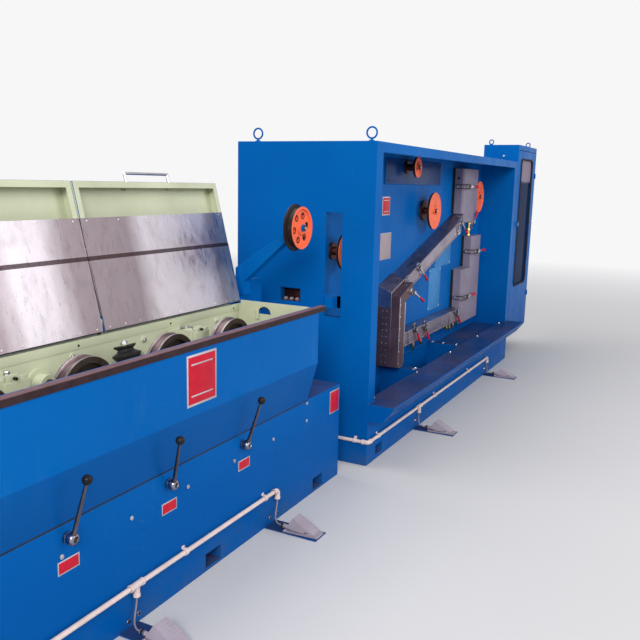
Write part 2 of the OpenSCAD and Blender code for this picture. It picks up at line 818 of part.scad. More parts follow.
// The roof over the bay, with the deep header along its front
module annealer_roof() {
    color(blue) {
        block([bay_x0, ann_y0, bay_top], [bay_x1, ann_y0 + 40, annealer_h]);
        block([bay_x0, ann_y0 + 40, annealer_h - roof_t], [bay_x1, wall_y, annealer_h]);
        block([ann_x0 + end_wall_t, ann_y0 + post_d, annealer_h - roof_t],
            [bay_x0, wall_y, annealer_h]);
    }
}

module annealer_right_post() {
    color(blue) block([bay_x1, ann_y0, sill_h], [ann_x1, wall_y, annealer_h]);
}

// The base under the bay: front, ends, cross members and the drip trough between them
module annealer_sump() {
    trough_front = ann_y0 + 47;
    floor_z = 120;
    color(blue) difference() {
        block([ann_x0, ann_y0, 0], [ann_x1, wall_y, sill_h]);
        // Two open sump bays and a shallow ledge at the far end
        block([bay_x0, trough_front, floor_z], [ann_x0 + 930, wall_y - 6, sill_h + cut]);
        block([ann_x0 + 1010, trough_front, floor_z], [ann_x0 + 1890, wall_y - 6, sill_h + cut]);
        block([ann_x0 + 1950, trough_front, sill_h - 34], [bay_x1, wall_y - 6, sill_h + cut]);
        // Anchor pocket in the front
        block([ann_x0 + 136, ann_y0 - cut, 28], [ann_x0 + 236, ann_y0 + 60, 86]);
    }
}

// The sill that stands out over the base front
module sill() {
    color(blue) along_x(ann_x0, ann_x1 - 20) polygon([[ann_y0, sill_h], [sill_y0, sill_h],
        [sill_y0, sill_h - 8], [fascia_y, fascia_z], [ann_y0, base_front]]);
}

// A channel along the line from p to q in the X-Z plane, between two Y planes, from the
// distance s0 to s1 along it; its top rises towards the wall
module channel(p, q, s0, s1, w, y0, y1, rise) {
    angle = atan2(q[1] - p[1], q[0] - p[0]);
    translate([p[0], 0, p[1]]) rotate([0, -angle, 0]) along_x(s0, s1)
        polygon([[y0, -w / 2], [y1, -w / 2], [y1, w / 2 + rise], [y0, w / 2]]);
}

// The slanted channel that leads the wire up, with a deeper hood at its low end
module wire_channel() {
    length = norm(channel_b - channel_a) + 60;
    y1 = wall_y - seat;
    color(steel) intersection() {
        union() {
            channel(channel_a, channel_b, -60, length, channel_w, front_y, y1, channel_rise);
            channel(channel_a, channel_b, -60, hood_l, channel_w, front_y, y1, hood_rise);
        }
        block([channel_a[0], front_y - cut, 300], [ann_x0 + 2361 - seat, wall_y, 1417 - seat]);
    }
}

// The stainless box where the wire is heated: a tall body on the wall, and the raised cover
// with an arm along the channel
module contact_box() {
    x1 = contact_x + contact_w;
    slope = (channel_b[1] - channel_a[1]) / (channel_b[0] - channel_a[0]);
    low = channel_a[1] - channel_w * 0.53;
    color(steel) {
        along_y(contact_seam, wall_y) polygon([[contact_x, contact_z], [x1, contact_z],
            [x1, low + contact_w * slope], [contact_x, low]]);
        along_y(contact_front, contact_seam) polygon([[contact_x, contact_z], [x1, contact_z],
            [x1, contact_z + 452], [x1 + 140, contact_z + 498], [x1 + 135, contact_z + 575],
            [contact_x, contact_z + 498]]);
    }
}

module return_channel() {
    color(steel) block([return_x0, front_y, 495], [return_x1, wall_y - seat, 600]);
}

// A closed box on the mounting wall with its front edges folded
module wall_box(x0, x1, z0, z1) {
    fold = 14;
    translate([0, 0, z0]) linear_extrude(z1 - z0) polygon([[x0, wall_y], [x0, front_y + fold],
        [x0 + fold, front_y], [x1 - fold, front_y], [x1, front_y + fold], [x1, wall_y]]);
}

module upper_box() {
    color(gray) {
        wall_box(ann_x0 + 2361, ann_x0 + 2788, 1417, bay_top - 30);
        wall_box(ann_x0 + 2420, ann_x0 + 2740, 1340, 1418);
    }
}

module lower_box() {
    color(gray) {
        wall_box(ann_x0 + 2713, ann_x0 + 2983, 933, 1212);
        wall_box(ann_x0 + 2453, ann_x0 + 2983, 455, 934);
    }
}

// A pull latch: base, loop and grip, laid at an angle on a front face at y. The grip's end
// lies at the given reach from the middle of the base.
module latch(x, z, angle, y, reach) {
    grip_d = 17;
    grip_l = 84;
    grip_end = reach - grip_d / 2;
    translate([x, y, z]) rotate([0, angle, 0]) {
        block([-34, -10, -13], [34, 0, 13]);
        block([-20, -26, -11], [16, -9, -5]);
        block([-20, -26, 5], [16, -9, 11]);
        translate([4, -20, 0]) rotate([0, 90, 0])
            cylinder(h = grip_end - grip_l + 14, d = 11, $fn = 24);
        translate([grip_end - grip_l, -20, 0]) rotate([0, 90, 0])
            cylinder(h = grip_l, d = grip_d, $fn = 24);
        translate([grip_end, -20, 0]) sphere(d = grip_d, $fn = 24);
    }
}

module toggle_clamps() {
    reach = 140;
    long_reach = 250;
    color(steel) {
        latch(ann_x0 + 2500, 1645, 0, front_y, reach);
        latch(ann_x0 + 2690, 1372, -60, front_y, reach);
        latch(ann_x0 + 2840, 1078, 0, front_y, reach);
        latch(ann_x0 + 2600, 690, 0, front_y, reach);
        latch(ann_x0 + 2270, 1300, 60, front_y, reach);
        latch(ann_x0 + 1450, 1052, 62, front_y, reach);
        latch(ann_x0 + 2330, 560, 75, front_y, reach);
        latch(ann_x0 + 1353, 580, 54, front_y, reach);
        latch(ann_x0 + 1553, 575, 55, front_y, reach);
        // On the arm of the contact box
        latch(contact_x + 214, contact_z + 512, 21, contact_front, long_reach);
    }
}

// A thin wire pulley with a V groove, a sunk hub and its bore, its front face at y
module pulley(p, d, y) {
    r = d / 2;
    w = thin_w;
    bore = spindle_d / 2 + fit;
    color(orange) turned_y(p[0], p[1]) polygon([[bore, y - 4], [bore, y + w + 4],
        [bore + 16, y + w + 4], [bore + 18, y + w - 4], [r - 18, y + w - 4],
        [r - 14, y + w], [r, y + w], [r, y + w - 3], [r - 8, y + w / 2],
        [r, y + 3], [r, y], [r - 14, y], [r - 18, y + 4],
        [bore + 18, y + 4], [bore + 16, y - 4]]);
}

// The broad arm pulley, with six round holes in its web
module arm_pulley() {
    r = arm_pulley_d / 2;
    rf = r - 13;
    w = 46;
    bore = spindle_d / 2 + fit;
    color(orange) translate([arm_pulley_p[0], 0, arm_pulley_p[1]]) difference() {
        turned_y(0, 0) polygon([[bore, wire_y - 2], [bore, wire_y + w], [r, wire_y + w],
            [r, wire_y + w - 5], [rf - 6, wire_y + w - 12], [rf - 6, wire_y + 8],
            [rf, wire_y + 3], [rf, wire_y], [rf - 12, wire_y], [rf - 16, wire_y + 12],
            [bore + 26, wire_y + 12], [bore + 22, wire_y - 2]]);
        for (i = [0:5]) {
            rotate([0, 60 * i + 20, 0]) translate([0, wire_y + w + cut, 66]) rotate([90, 0, 0])
                cylinder(h = w + 2 * cut, d = 24, $fn = 24);
        }
    }
}

module slot_pulley() { pulley(slot_pulley_p, pulley_d - 60, wire_y); }
module top_pulley() { pulley(top_pulley_p, small_pulley_d, wire_y); }
module middle_pulley() { pulley(middle_pulley_p, pulley_d, wire_y); }
module far_pulley() { pulley(far_pulley_p, pulley_d + 4, far_y); }

// A flange on the face at y1 with the spindle and end cap of the pulley whose front is at y
module wall_spindle(p, flange, y, y1) {
    bar_y(p[0], p[1], y1 - 16, y1, flange);
    bar_y(p[0], p[1], y + thin_w + 4 + seat, y1 - 15, spindle_d + 26);
    bar_y(p[0], p[1], y - 6, y1 - 15, spindle_d);
    bar_y(p[0], p[1], y - 12, y - 4 - seat, spindle_d + 12);
}

module pulley_brackets() {
    color(dark) {
        wall_spindle(slot_pulley_p, 100, wire_y, wall_y);
        wall_spindle(top_pulley_p, 90, wire_y, wall_y - panel_t);
        wall_spindle(middle_pulley_p, 150, wire_y, wall_y);
        wall_spindle(far_pulley_p, 150, far_y, wall_y);
    }
}

// The tapered box arm that carries the first pulley, from the gear housing
module support_arm() {
    x = arm_pulley_p[0];
    z = arm_pulley_p[1];
    back = wire_y + 46 + seat;
    top = base_h + housing_h;
    color(blue) {
        along_x(x - 26, x + 38) polygon([[housing_y0, top - 60], [housing_y0, top + 85],
            [back + 10, z - 5], [back + 10, z - 48], [housing_y0 - 55, top + 13],
            [housing_y0 - 55, top - 60]]);
        bar_y(x, z, back, back + 34, spindle_d + 36);
        bar_y(x, z, wire_y - 10, back + 14, spindle_d);
        bar_y(x, z, wire_y - 14, wire_y - 2 - seat, spindle_d + 12);
    }
}

// The tower: a tall cabinet on a recessed plinth, open at the front for its door
module tower_body() {
    color(blue) {
        difference() {
            block([tow_x0, ann_y0 + door_t, tower_foot], [tow_x1, tow_y1, tower_h]);
            block([tow_x0 + door_edge, ann_y0 - cut, tower_foot + 80],
                [tow_x1 - door_edge, tow_y1 - tower_wall, tower_h - 80]);
        }
        block([tow_x0, ann_y0 + plinth_set, 0], [tow_x1, tow_y1, tower_foot]);
        // Frame round the door
        difference() {
            block([tow_x0, ann_y0, tower_foot], [tow_x1, ann_y0 + door_t, tower_h]);
            block([tow_x0 + stile, ann_y0 - cut, tower_foot + 40],
                [tow_x1 - stile, ann_y0 + door_t + cut, tower_h - 45]);
        }
        // Lower halves of the hinges, with their pins
        for (z = hinge_z) {
            block([hinge_x, hinge_y, z], [tow_x1, ann_y0, z + hinge_l / 2]);
            translate([hinge_x, hinge_y, z]) cylinder(h = hinge_l / 2, d = knuckle_d, $fn = 48);
            translate([hinge_x, hinge_y, z]) cylinder(h = hinge_l, d = hinge_pin, $fn = 48);
        }
    }
}

module tower_door() {
    latch_x = door_x0 + 70;
    latch_z = 1300;
    color(blue) difference() {
        union() {
            // Upper halves of the hinges
            for (z = hinge_z) {
                block([door_x1 - 14, hinge_y, z + hinge_l / 2 + seat],
                    [hinge_x, ann_y0, z + hinge_l]);
                translate([hinge_x, hinge_y, z + hinge_l / 2 + seat])
                    cylinder(h = hinge_l / 2 - seat, d = knuckle_d, $fn = 48);
            }
            block([door_x0, ann_y0, door_z0], [door_x1, ann_y0 + door_t - 6, door_z1]);
            // Latch grip beside the window
            block([latch_x - 12, ann_y0 - 18, latch_z - 22],
                [latch_x + 12, ann_y0, latch_z + 22]);
        }
        for (z = hinge_z) {
            translate([hinge_x, hinge_y, z])
                cylinder(h = hinge_l + cut, d = hinge_pin + 2 * fit, $fn = 48);
        }
        translate([window_x, 0, window_z]) along_y(ann_y0 - cut, ann_y0 + door_t)
            round_rect(window_w, window_h, 50);
    }
}

module window_pane() {
    rebate = 0.2;
    color(dark) translate([window_x, 0, window_z]) along_y(ann_y0 + 8, ann_y0 + 14)
        round_rect(window_w - 2 * rebate, window_h - 2 * rebate, 50);
}

// A lifting eye on its foot, with its ring's middle at the given height above the roof
module eye_bolt(x, y, z, lift, r, rod) {
    translate([x, y, z]) cylinder(h = 10, d = 34, $fn = 32);
    translate([x, y, z]) cylinder(h = lift - r, d = 16, $fn = 32);
    translate([x, y, z + lift]) rotate([90, 0, 0]) rotate_extrude($fn = 48)
        translate([r, 0]) circle(d = rod, $fn = 24);
}

module eye_bolts() {
    color(blue) {
        for (x = [ann_x0 + 102, ann_x1 - 300]) {
            eye_bolt(x, ann_y0 + 80, annealer_h, 51, 24, 11);
            eye_bolt(x, ann_y1 - 80, annealer_h, 51, 24, 11);
        }
        eye_bolt(tow_x0 + 100, tow_y1 - 40, tower_h, 28, 19, 10);
        eye_bolt(tow_x1 - 100, ann_y0 + 68, tower_h, 28, 19, 10);
    }
}

drawing_base();
gear_housing();
tray();
tray_front();
tray_end_plate();
rim_strip();
lid_right();
lid_left();
liner_right();
liner_left();
handle_right();
handle_left();
lever_1();
lever_2();
lever_3();
lever_bosses();
capstan_1();
capstan_2();
capstan_3();
capstan_4();
capstan_bearings();
guide_roller();
die_holders();
conduits();
switch_leads();
foot_switches();
pedal_1();
pedal_2();
pedal_3();
pedal_4();
annealer_cabinet();
annealer_end_wall();
annealer_roof();
annealer_right_post();
annealer_sump();
sill();
contact_box();
wire_channel();
return_channel();
upper_box();
lower_box();
toggle_clamps();
arm_pulley();
slot_pulley();
top_pulley();
middle_pulley();
far_pulley();
pulley_brackets();
support_arm();
tower_body();
tower_door();
window_pane();
eye_bolts();
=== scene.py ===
import math

import bmesh
import bpy
from mathutils import Matrix, Vector


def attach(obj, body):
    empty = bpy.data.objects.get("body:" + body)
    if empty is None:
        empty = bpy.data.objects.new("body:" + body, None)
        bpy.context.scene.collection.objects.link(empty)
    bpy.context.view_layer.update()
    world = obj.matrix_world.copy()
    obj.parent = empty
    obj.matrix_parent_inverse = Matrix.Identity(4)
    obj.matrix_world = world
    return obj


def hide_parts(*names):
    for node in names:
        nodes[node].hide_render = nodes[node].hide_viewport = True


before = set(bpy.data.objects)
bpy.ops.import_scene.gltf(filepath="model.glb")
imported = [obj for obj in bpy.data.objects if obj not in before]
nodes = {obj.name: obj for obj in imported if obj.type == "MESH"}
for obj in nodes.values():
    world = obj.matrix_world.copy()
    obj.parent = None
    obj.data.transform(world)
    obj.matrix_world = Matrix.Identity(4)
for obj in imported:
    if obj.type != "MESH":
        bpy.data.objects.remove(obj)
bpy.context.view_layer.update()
MM = 0.001

# Directions, and the planes that small pieces sit on in millimetres
RIGHT, BACK, UP = (1, 0, 0), (0, 1, 0), (0, 0, 1)
LEFT, FRONT, DOWN = (-1, 0, 0), (0, -1, 0), (0, 0, -1)
BASE_FRONT, SUMP_FRONT = -565, -657
WALL, BOX_FRONT, COVER_FRONT = -340, -440, -502
SILL_Z, ROOF_Z, TOWER_Z = 380, 1884, 2040

# Camera
SENSOR, FOCAL_PX, PHOTO_PX = 36.0, 750.0, 640.0
CAM_AT = (-2.475, -2.340, 1.650)
CAM_RIGHT = (0.463516, -0.885786, 0.023163)
CAM_DOWN = (-0.149070, -0.103721, -0.983372)
CAM_AHEAD = (0.873459, 0.452355, -0.180121)
cam_data = bpy.data.cameras.new("camera")
cam_data.sensor_width = SENSOR
cam_data.lens = SENSOR * FOCAL_PX / PHOTO_PX
cam_data.clip_end = 100.0
cam = bpy.data.objects.new("camera", cam_data)
bpy.context.scene.collection.objects.link(cam)
cam.matrix_world = Matrix.Translation(CAM_AT) @ Matrix(
    [(CAM_RIGHT[i], -CAM_DOWN[i], -CAM_AHEAD[i]) for i in range(3)]).to_4x4()
bpy.context.scene.camera = cam


# Materials
class Shader:
    """A Principled material with short calls for the nodes that feed it."""

    def __init__(self, name, rough=0.5, metal=0.0, coat=0.0, coat_rough=0.1, spec=0.12):
        self.mat = bpy.data.materials.new(name)
        self.mat.use_nodes = True
        self.tree = self.mat.node_tree
        self.tree.nodes.clear()
        out = self.tree.nodes.new("ShaderNodeOutputMaterial")
        self.bsdf = self.tree.nodes.new("ShaderNodeBsdfPrincipled")
        self.tree.links.new(self.bsdf.outputs[0], out.inputs[0])
        self.put("Roughness", rough)
        self.put("Metallic", metal)
        self.put("Coat Weight", coat)
        self.put("Coat Roughness", coat_rough)
        self.put("Specular IOR Level", spec)
        self.pos = self.tree.nodes.new("ShaderNodeTexCoord").outputs["Object"]
        self.x, self.y, self.z = self.axes(self.pos)

    def axes(self, vector):
        split = self.tree.nodes.new("ShaderNodeSeparateXYZ")
        self.tree.links.new(vector, split.inputs[0])
        return split.outputs

    def put(self, socket, value):
        if isinstance(value, bpy.types.NodeSocket):
            self.tree.links.new(value, self.bsdf.inputs[socket])
        else:
            self.bsdf.inputs[socket].default_value = (*value, 1.0) if isinstance(value, tuple) else value

    def feed(self, socket, value):
        if isinstance(value, bpy.types.NodeSocket):
            self.tree.links.new(value, socket)
        elif isinstance(value, tuple):
            socket.default_value = (*value, 1.0) if len(socket.default_value) == 4 else value
        else:
            socket.default_value = value

    def noise(self, scale, detail=3.0, rough=0.5, stretch=(1, 1, 1), shift=(0, 0, 0)):
        n = self.tree.nodes.new("ShaderNodeTexNoise")
        n.inputs["Scale"].default_value = scale
        n.inputs["Detail"].default_value = detail
        n.inputs["Roughness"].default_value = rough
        m = self.tree.nodes.new("ShaderNodeMapping")
        m.inputs["Scale"].default_value = stretch
        m.inputs["Location"].default_value = shift
        self.tree.links.new(self.pos, m.inputs["Vector"])
        self.tree.links.new(m.outputs[0], n.inputs["Vector"])
        return n.outputs["Fac"]

    def cells(self, scale):
        n = self.tree.nodes.new("ShaderNodeTexVoronoi")
        n.inputs["Scale"].default_value = scale
        self.tree.links.new(self.pos, n.inputs["Vector"])
        return n.outputs["Distance"]

    def span(self, value, a, b, c=0.0, d=1.0):
        n = self.tree.nodes.new("ShaderNodeMapRange")
        self.feed(n.inputs["Value"], value)
        for key, v in (("From Min", a), ("From Max", b), ("To Min", c), ("To Max", d)):
            n.inputs[key].default_value = v
        return n.outputs[0]

    def mix(self, fac, a, b):
        n = self.tree.nodes.new("ShaderNodeMix")
        n.data_type = "RGBA"
        self.feed(n.inputs[0], fac)
        self.feed(n.inputs[6], a)
        self.feed(n.inputs[7], b)
        return n.outputs[2]

    def calc(self, op, a, b=0.0):
        n = self.tree.nodes.new("ShaderNodeMath")
        n.operation = op
        self.feed(n.inputs[0], a)
        self.feed(n.inputs[1], b)
        return n.outputs[0]

    def times(self, a, b):
        return self.calc("MULTIPLY", a, b)

    def plus(self, a, b):
        return self.calc("ADD", a, b)

    def minus(self, a, b):
        return self.calc("SUBTRACT", a, b)

    def above(self, a, b):
        return self.calc("GREATER_THAN", a, b)

    def below(self, a, b):
        return self.calc("LESS_THAN", a, b)

    def radius(self, cx, cz):
        """Distance from an axis that runs along Y."""
        dx = self.calc("POWER", self.minus(self.x, cx), 2.0)
        dz = self.calc("POWER", self.minus(self.z, cz), 2.0)
        return self.calc("SQRT", self.plus(dx, dz))

    def bump(self, height, strength, distance):
        n = self.tree.nodes.new("ShaderNodeBump")
        n.inputs["Strength"].default_value = strength
        n.inputs["Distance"].default_value = distance
        self.tree.links.new(height, n.inputs["Height"])
        self.put("Normal", n.outputs[0])


BLUE = (0.0010, 0.126, 0.435)
BLUE_DEEP = (0.0007, 0.104, 0.375)
BLUE_SHADED_LOW = (0.0006, 0.082, 0.325)
GREEN = (0.610, 0.640, 0.460)
GREEN_DULL = (0.465, 0.490, 0.345)


def blue_colour(s):
    c = s.mix(s.span(s.noise(0.9, 3), 0.35, 0.68), BLUE_DEEP, BLUE)
    # Painted shade: the blue darkens towards the floor, from 0.75 m down to 0.35 m
    c = s.mix(s.span(s.z, 0.75, 0.35, 0.0, 0.85), c, BLUE_SHADED_LOW)
    # Scuffs that run down, and floor dust that creeps up the foot
    scuff = s.span(s.noise(9, 5, 0.62, (1, 1, 0.16)), 0.62, 0.80)
    c = s.mix(s.times(scuff, 0.16), c, (0.06, 0.22, 0.50))
    foot = s.times(s.span(s.z, 0.16, 0.0), s.span(s.noise(6, 4, 0.6), 0.35, 0.7))
    c = s.mix(s.times(foot, 0.45), c, (0.055, 0.085, 0.14))
    chips = s.times(s.span(s.cells(55), 0.075, 0.05), s.span(s.noise(3.1, 2), 0.60, 0.66))
    return s.mix(s.times(chips, 0.65), c, (0.30, 0.36, 0.42))


def green_colour(s):
    c = s.mix(s.span(s.noise(2.2, 4), 0.35, 0.7), GREEN, GREEN_DULL)
    # Dried lubricant that pools low in the trough and runs down its walls
    oil = s.times(s.span(s.z, 0.93, 0.60), s.span(s.noise(5, 5, 0.65, (1, 1, 0.3)), 0.38, 0.75))
    c = s.mix(s.times(oil, 0.55), c, (0.115, 0.125, 0.055))
    specks = s.span(s.noise(70, 2), 0.70, 0.78)
    return s.mix(s.times(specks, 0.35), c, (0.20, 0.19, 0.10))


def paint_finish(s, rough=0.30):
    s.put("Roughness", s.span(s.noise(5, 4, 0.6), 0.3, 0.75, rough - 0.07, rough + 0.13))
    s.bump(s.noise(260, 2), 0.035, 0.0006)


def blue_paint():
    s = Shader("blue_paint", coat=0.01, coat_rough=0.12, spec=0.02)
    # Oily dust that lies on faces turned up, thickest on the low ledges
    up = s.axes(s.tree.nodes.new("ShaderNodeNewGeometry").outputs["Normal"])[2]
    dust = s.times(s.span(up, 0.80, 0.99), s.span(s.noise(4, 5, 0.65), 0.30, 0.70, 0.45, 0.80))
    dust = s.times(dust, s.span(s.z, 1.2, 0.7, 0.3, 1.0))
    dirt = s.mix(s.span(s.noise(1.7, 3), 0.45, 0.65), (0.020, 0.026, 0.060), (0.075, 0.050, 0.070))
    s.put("Base Color", s.mix(dust, blue_colour(s), dirt))
    paint_finish(s)
    return s.mat


def green_paint():
    s = Shader("green_paint", coat=0.05, coat_rough=0.2)
    s.put("Base Color", green_colour(s))
    paint_finish(s, 0.38)
    return s.mat


# Tray and lids, in metres: the tray's ends and front, the lids' hinge axis, lean and size
TRAY_X, TRAY_FRONT = (-1.192, 0.828), -0.622
FOLD_Z, FOLD_SLOPE = 0.745, 57 / 205
RIM_Z = 1.0285
LEAN = math.radians(14.4)
AXIS_Y, AXIS_Z = -0.124, 1.063
LID_L, LID_FOOT, LID_H = 1.004, 0.047, 0.634
LID_X = {"right": TRAY_X[1] - LID_L, "left": TRAY_X[0]}
LID_DISH = 0.0412
JOGGLE, JOGGLE_H = 0.295 - 0.043, 0.0185


def tray_paint():
    """Blue outside, pale green inside the trough."""
    (x0, x1), y0 = TRAY_X, TRAY_FRONT
    s = Shader("tray_paint", coat=0.01, coat_rough=0.12, spec=0.03)
    slope = s.times(s.calc("MAXIMUM", s.minus(FOLD_Z, s.z), 0.0), FOLD_SLOPE)
    inner = s.above(s.minus(s.y, slope), y0 + 0.003)
    inner = s.times(inner, s.above(s.x, x0 + 0.002))
    inner = s.times(inner, s.below(s.x, x1 - 0.002))
    rim = s.times(s.above(s.z, RIM_Z), s.below(s.y, -0.56))
    inner = s.times(inner, s.minus(1.0, rim))
    # Painted shade: the slanted part below the fold is darker, as a face that turns down lies in shade
    low = s.times(s.span(s.z, 0.749, 0.741), 0.45)
    outer = s.mix(low, blue_colour(s), (0.0006, 0.062, 0.250))
    s.put("Base Color", s.mix(inner, outer, green_colour(s)))
    paint_finish(s, 0.32)
    return s.mat


def lid_axes(s):
    """Depth behind the hinge axis and height along the leaning lid."""
    dy, dz = s.minus(s.y, AXIS_Y), s.minus(s.z, AXIS_Z)
    depth = s.minus(s.times(dy, math.cos(LEAN)), s.times(dz, math.sin(LEAN)))
    return depth, s.plus(s.times(dy, math.sin(LEAN)), s.times(dz, math.cos(LEAN)))


def lid_paint(side):
    """Pale green within, blue on the outer skin and on the edges that meet the next lid."""
    s = Shader("lid_paint_" + side, coat=0.06, coat_rough=0.16)
    depth, up = lid_axes(s)
    x0 = LID_X[side]
    inner = s.below(depth, LID_DISH)
    inner = s.times(inner, s.above(s.x, x0 + 0.0006))
    inner = s.times(inner, s.below(s.x, x0 + LID_L - 0.0006))
    inner = s.times(inner, s.below(up, LID_H - LID_FOOT - 0.0006))
    s.put("Base Color", s.mix(inner, blue_colour(s), green_colour(s)))
    paint_finish(s, 0.34)
    return s.mat


def liner_steel():
    """Brushed stainless with broad pale bands of painted reflection, darker mauve between them, the joggle
    painted dark as shade, and a few rust spots.
    """
    s = Shader("liner_steel", metal=1.0)
    up = lid_axes(s)[1]
    # Painted reflection: broad pale bands for the windows mirrored in the steel, darker mauve between them,
    # and a cooler grey towards the right end
    wave = s.plus(s.x, s.span(s.noise(2.2, 3, 0.5, (1, 1, 0.25)), 0.25, 0.75, -0.07, 0.07))
    left = s.times(s.span(wave, -0.68, -0.58), s.span(wave, -0.30, -0.42))
    right = s.times(s.span(wave, 0.08, 0.20), s.span(wave, 0.74, 0.60))
    c = s.mix(s.calc("MAXIMUM", left, right), (0.300, 0.245, 0.265), (0.645, 0.588, 0.628))
    c = s.mix(s.span(wave, 0.68, 0.80), c, (0.330, 0.350, 0.400))
    smear = s.span(s.noise(14, 5, 0.65, (1, 1, 0.5), (3, 0, 1)), 0.50, 0.78)
    c = s.mix(s.times(smear, 0.40), c, (0.24, 0.18, 0.18))
    rust = s.times(s.span(s.noise(42, 4, 0.7), 0.66, 0.74), s.span(up, 0.20, -0.04))
    c = s.mix(s.times(rust, 0.75), c, (0.16, 0.075, 0.045))
    # Painted shade: the joggle's down-turned step is painted dark, standing for the shade and dark reflection
    # on it
    joggle_shade = s.times(s.above(up, JOGGLE), s.below(up, JOGGLE + JOGGLE_H))
    c = s.mix(s.times(joggle_shade, 0.88), c, (0.05, 0.025, 0.028))
    s.put("Base Color", c)
    s.put("Roughness", s.span(s.noise(60, 3, 0.6, (1, 1, 0.05)), 0.3, 0.7, 0.24, 0.42))
    s.bump(s.noise(520, 2, 0.5, (1, 1, 0.012)), 0.10, 0.0004)
    return s.mat


def steel(name, light, dull, grain=(1, 1, 1), rough=0.32, scale=240, metal=1.0):
    s = Shader(name, metal=metal)
    c = s.mix(s.span(s.noise(7, 4, 0.6), 0.35, 0.7), light, dull)
    s.put("Base Color", c)
    s.put("Roughness", s.span(s.noise(30, 3, 0.6), 0.3, 0.7, rough - 0.08, rough + 0.12))
    s.bump(s.noise(scale, 3, 0.5, grain), 0.06, 0.0004)
    return s.mat


def plastic(name, colour, dull, rough=0.45, scale=300, bump=0.05):
    s = Shader(name)
    s.put("Base Color", s.mix(s.span(s.noise(18, 4, 0.6), 0.35, 0.72), colour, dull))
    s.put("Roughness", s.span(s.noise(40, 3), 0.3, 0.7, rough - 0.08, rough + 0.12))
    s.bump(s.noise(scale, 3, 0.6), bump, 0.0005)
    return s.mat


def gray_paint(name, colour, dull, rough=0.36):
    s = Shader(name, coat=0.03, coat_rough=0.25)
    c = s.mix(s.span(s.noise(3.5, 4, 0.6), 0.35, 0.7), colour, dull)
    marks = s.span(s.noise(26, 5, 0.7, (1, 1, 0.4)), 0.66, 0.80)
    s.put("Base Color", s.mix(s.times(marks, 0.30), c, (0.12, 0.11, 0.12)))
    s.put("Roughness", s.span(s.noise(12, 3), 0.3, 0.7, rough - 0.06, rough + 0.12))
    s.bump(s.noise(340, 3, 0.6), 0.05, 0.0005)
    return s.mat


ENAMEL, TREAD = (0.95, 0.160, 0.065), (0.022, 0.014, 0.014)


def wheel_paint(name, cx, cz, rim, edge, front):
    """An enamelled disc whose groove and edge are worn to dark metal."""
    s = Shader(name, coat=0.05, coat_rough=0.2)
    r = s.radius(cx, cz)
    dark = s.times(s.above(r, rim), s.above(s.y, front + 0.002))
    behind = s.times(s.above(s.y, edge), s.above(r, rim - 0.03))
    dark = s.calc("MAXIMUM", dark, behind)
    c = s.mix(s.span(s.noise(9, 4, 0.6), 0.35, 0.72), ENAMEL, tuple(v * 0.80 for v in ENAMEL))
    grime = s.span(s.noise(34, 4, 0.7), 0.58, 0.76)
    c = s.mix(s.times(grime, 0.4), c, (0.16, 0.035, 0.02))
    s.put("Base Color", s.mix(dark, c, TREAD))
    s.put("Roughness", s.span(s.noise(20, 3), 0.3, 0.7, 0.30, 0.50))
    s.bump(s.noise(300, 2), 0.05, 0.0005)
    return s.mat


CAPSTAN_Y, CAPSTAN_R = (-0.405, -0.353), 0.1345


def capstan_steel(name, cx, cz):
    """Brown hard-coated steel, with painted highlights round its rims."""
    s = Shader(name, metal=1.0)
    r = s.radius(cx, cz)
    # Painted highlight: a pale band round the front and back edges of the rim
    front = s.below(s.calc("ABSOLUTE", s.minus(s.y, CAPSTAN_Y[0] + 0.004)), 0.0055)
    back = s.below(s.calc("ABSOLUTE", s.minus(s.y, CAPSTAN_Y[1] - 0.004)), 0.0055)
    rim = s.times(s.calc("MAXIMUM", front, back), s.above(r, CAPSTAN_R))
    c = s.mix(s.span(s.noise(11, 4, 0.6), 0.35, 0.7), (0.160, 0.115, 0.120), (0.090, 0.062, 0.062))
    # Painted shade: the dished part of the face is darkened as the shade in its recess
    sunk = s.times(s.span(r, 0.110, 0.106), s.span(r, 0.050, 0.056))
    c = s.mix(s.times(sunk, 0.50), c, (0.020, 0.014, 0.014))
    s.put("Base Color", s.mix(rim, c, (0.40, 0.35, 0.36)))
    s.put("Roughness", s.span(s.noise(45, 3, 0.6), 0.3, 0.7, 0.28, 0.45))
    s.bump(s.noise(700, 2, 0.5, (0.2, 1, 0.2)), 0.10, 0.0003)
    return s.mat


def edge_strip():
    """Rubber, mauve and paler along its top, dark brown on its front."""
    s = Shader("edge_strip", rough=0.5)
    paler_top = s.mix(s.span(s.noise(18, 4, 0.6), 0.35, 0.72), (0.185, 0.100, 0.115), (0.120, 0.064, 0.074))
    front = s.mix(s.span(s.noise(26, 4, 0.6), 0.35, 0.72), (0.040, 0.021, 0.025), (0.022, 0.012, 0.014))
    s.put("Base Color", s.mix(s.span(s.z, 1.0300, 1.0322), front, paler_top))
    s.bump(s.noise(160, 3, 0.6), 0.08, 0.0005)
    return s.mat


def glass():
    """Dark glazing, with a pale reflection painted across its top part."""
    s = Shader("window_glass", rough=0.06, spec=0.003)
    # Painted reflection: a pale band across the top of the pane
    top = s.span(s.plus(s.z, s.span(s.noise(3, 3), 0.3, 0.7, -0.008, 0.008)), 1.690, 1.715)
    c = s.mix(s.span(s.noise(1.5, 3), 0.3, 0.75), (0.006, 0.017, 0.060), (0.010, 0.032, 0.095))
    s.put("Base Color", s.mix(s.times(top, 0.85), c, (0.30, 0.24, 0.30)))
    return s.mat


def enamel(name, colour, rough=0.3):
    s = Shader(name, coat=0.06, coat_rough=0.15)
    c = s.mix(s.span(s.noise(30, 3), 0.35, 0.7), colour, tuple(v * 0.8 for v in colour))
    s.put("Base Color", c)
    s.put("Roughness", s.span(s.noise(60, 3), 0.3, 0.7, rough - 0.06, rough + 0.1))
    return s.mat


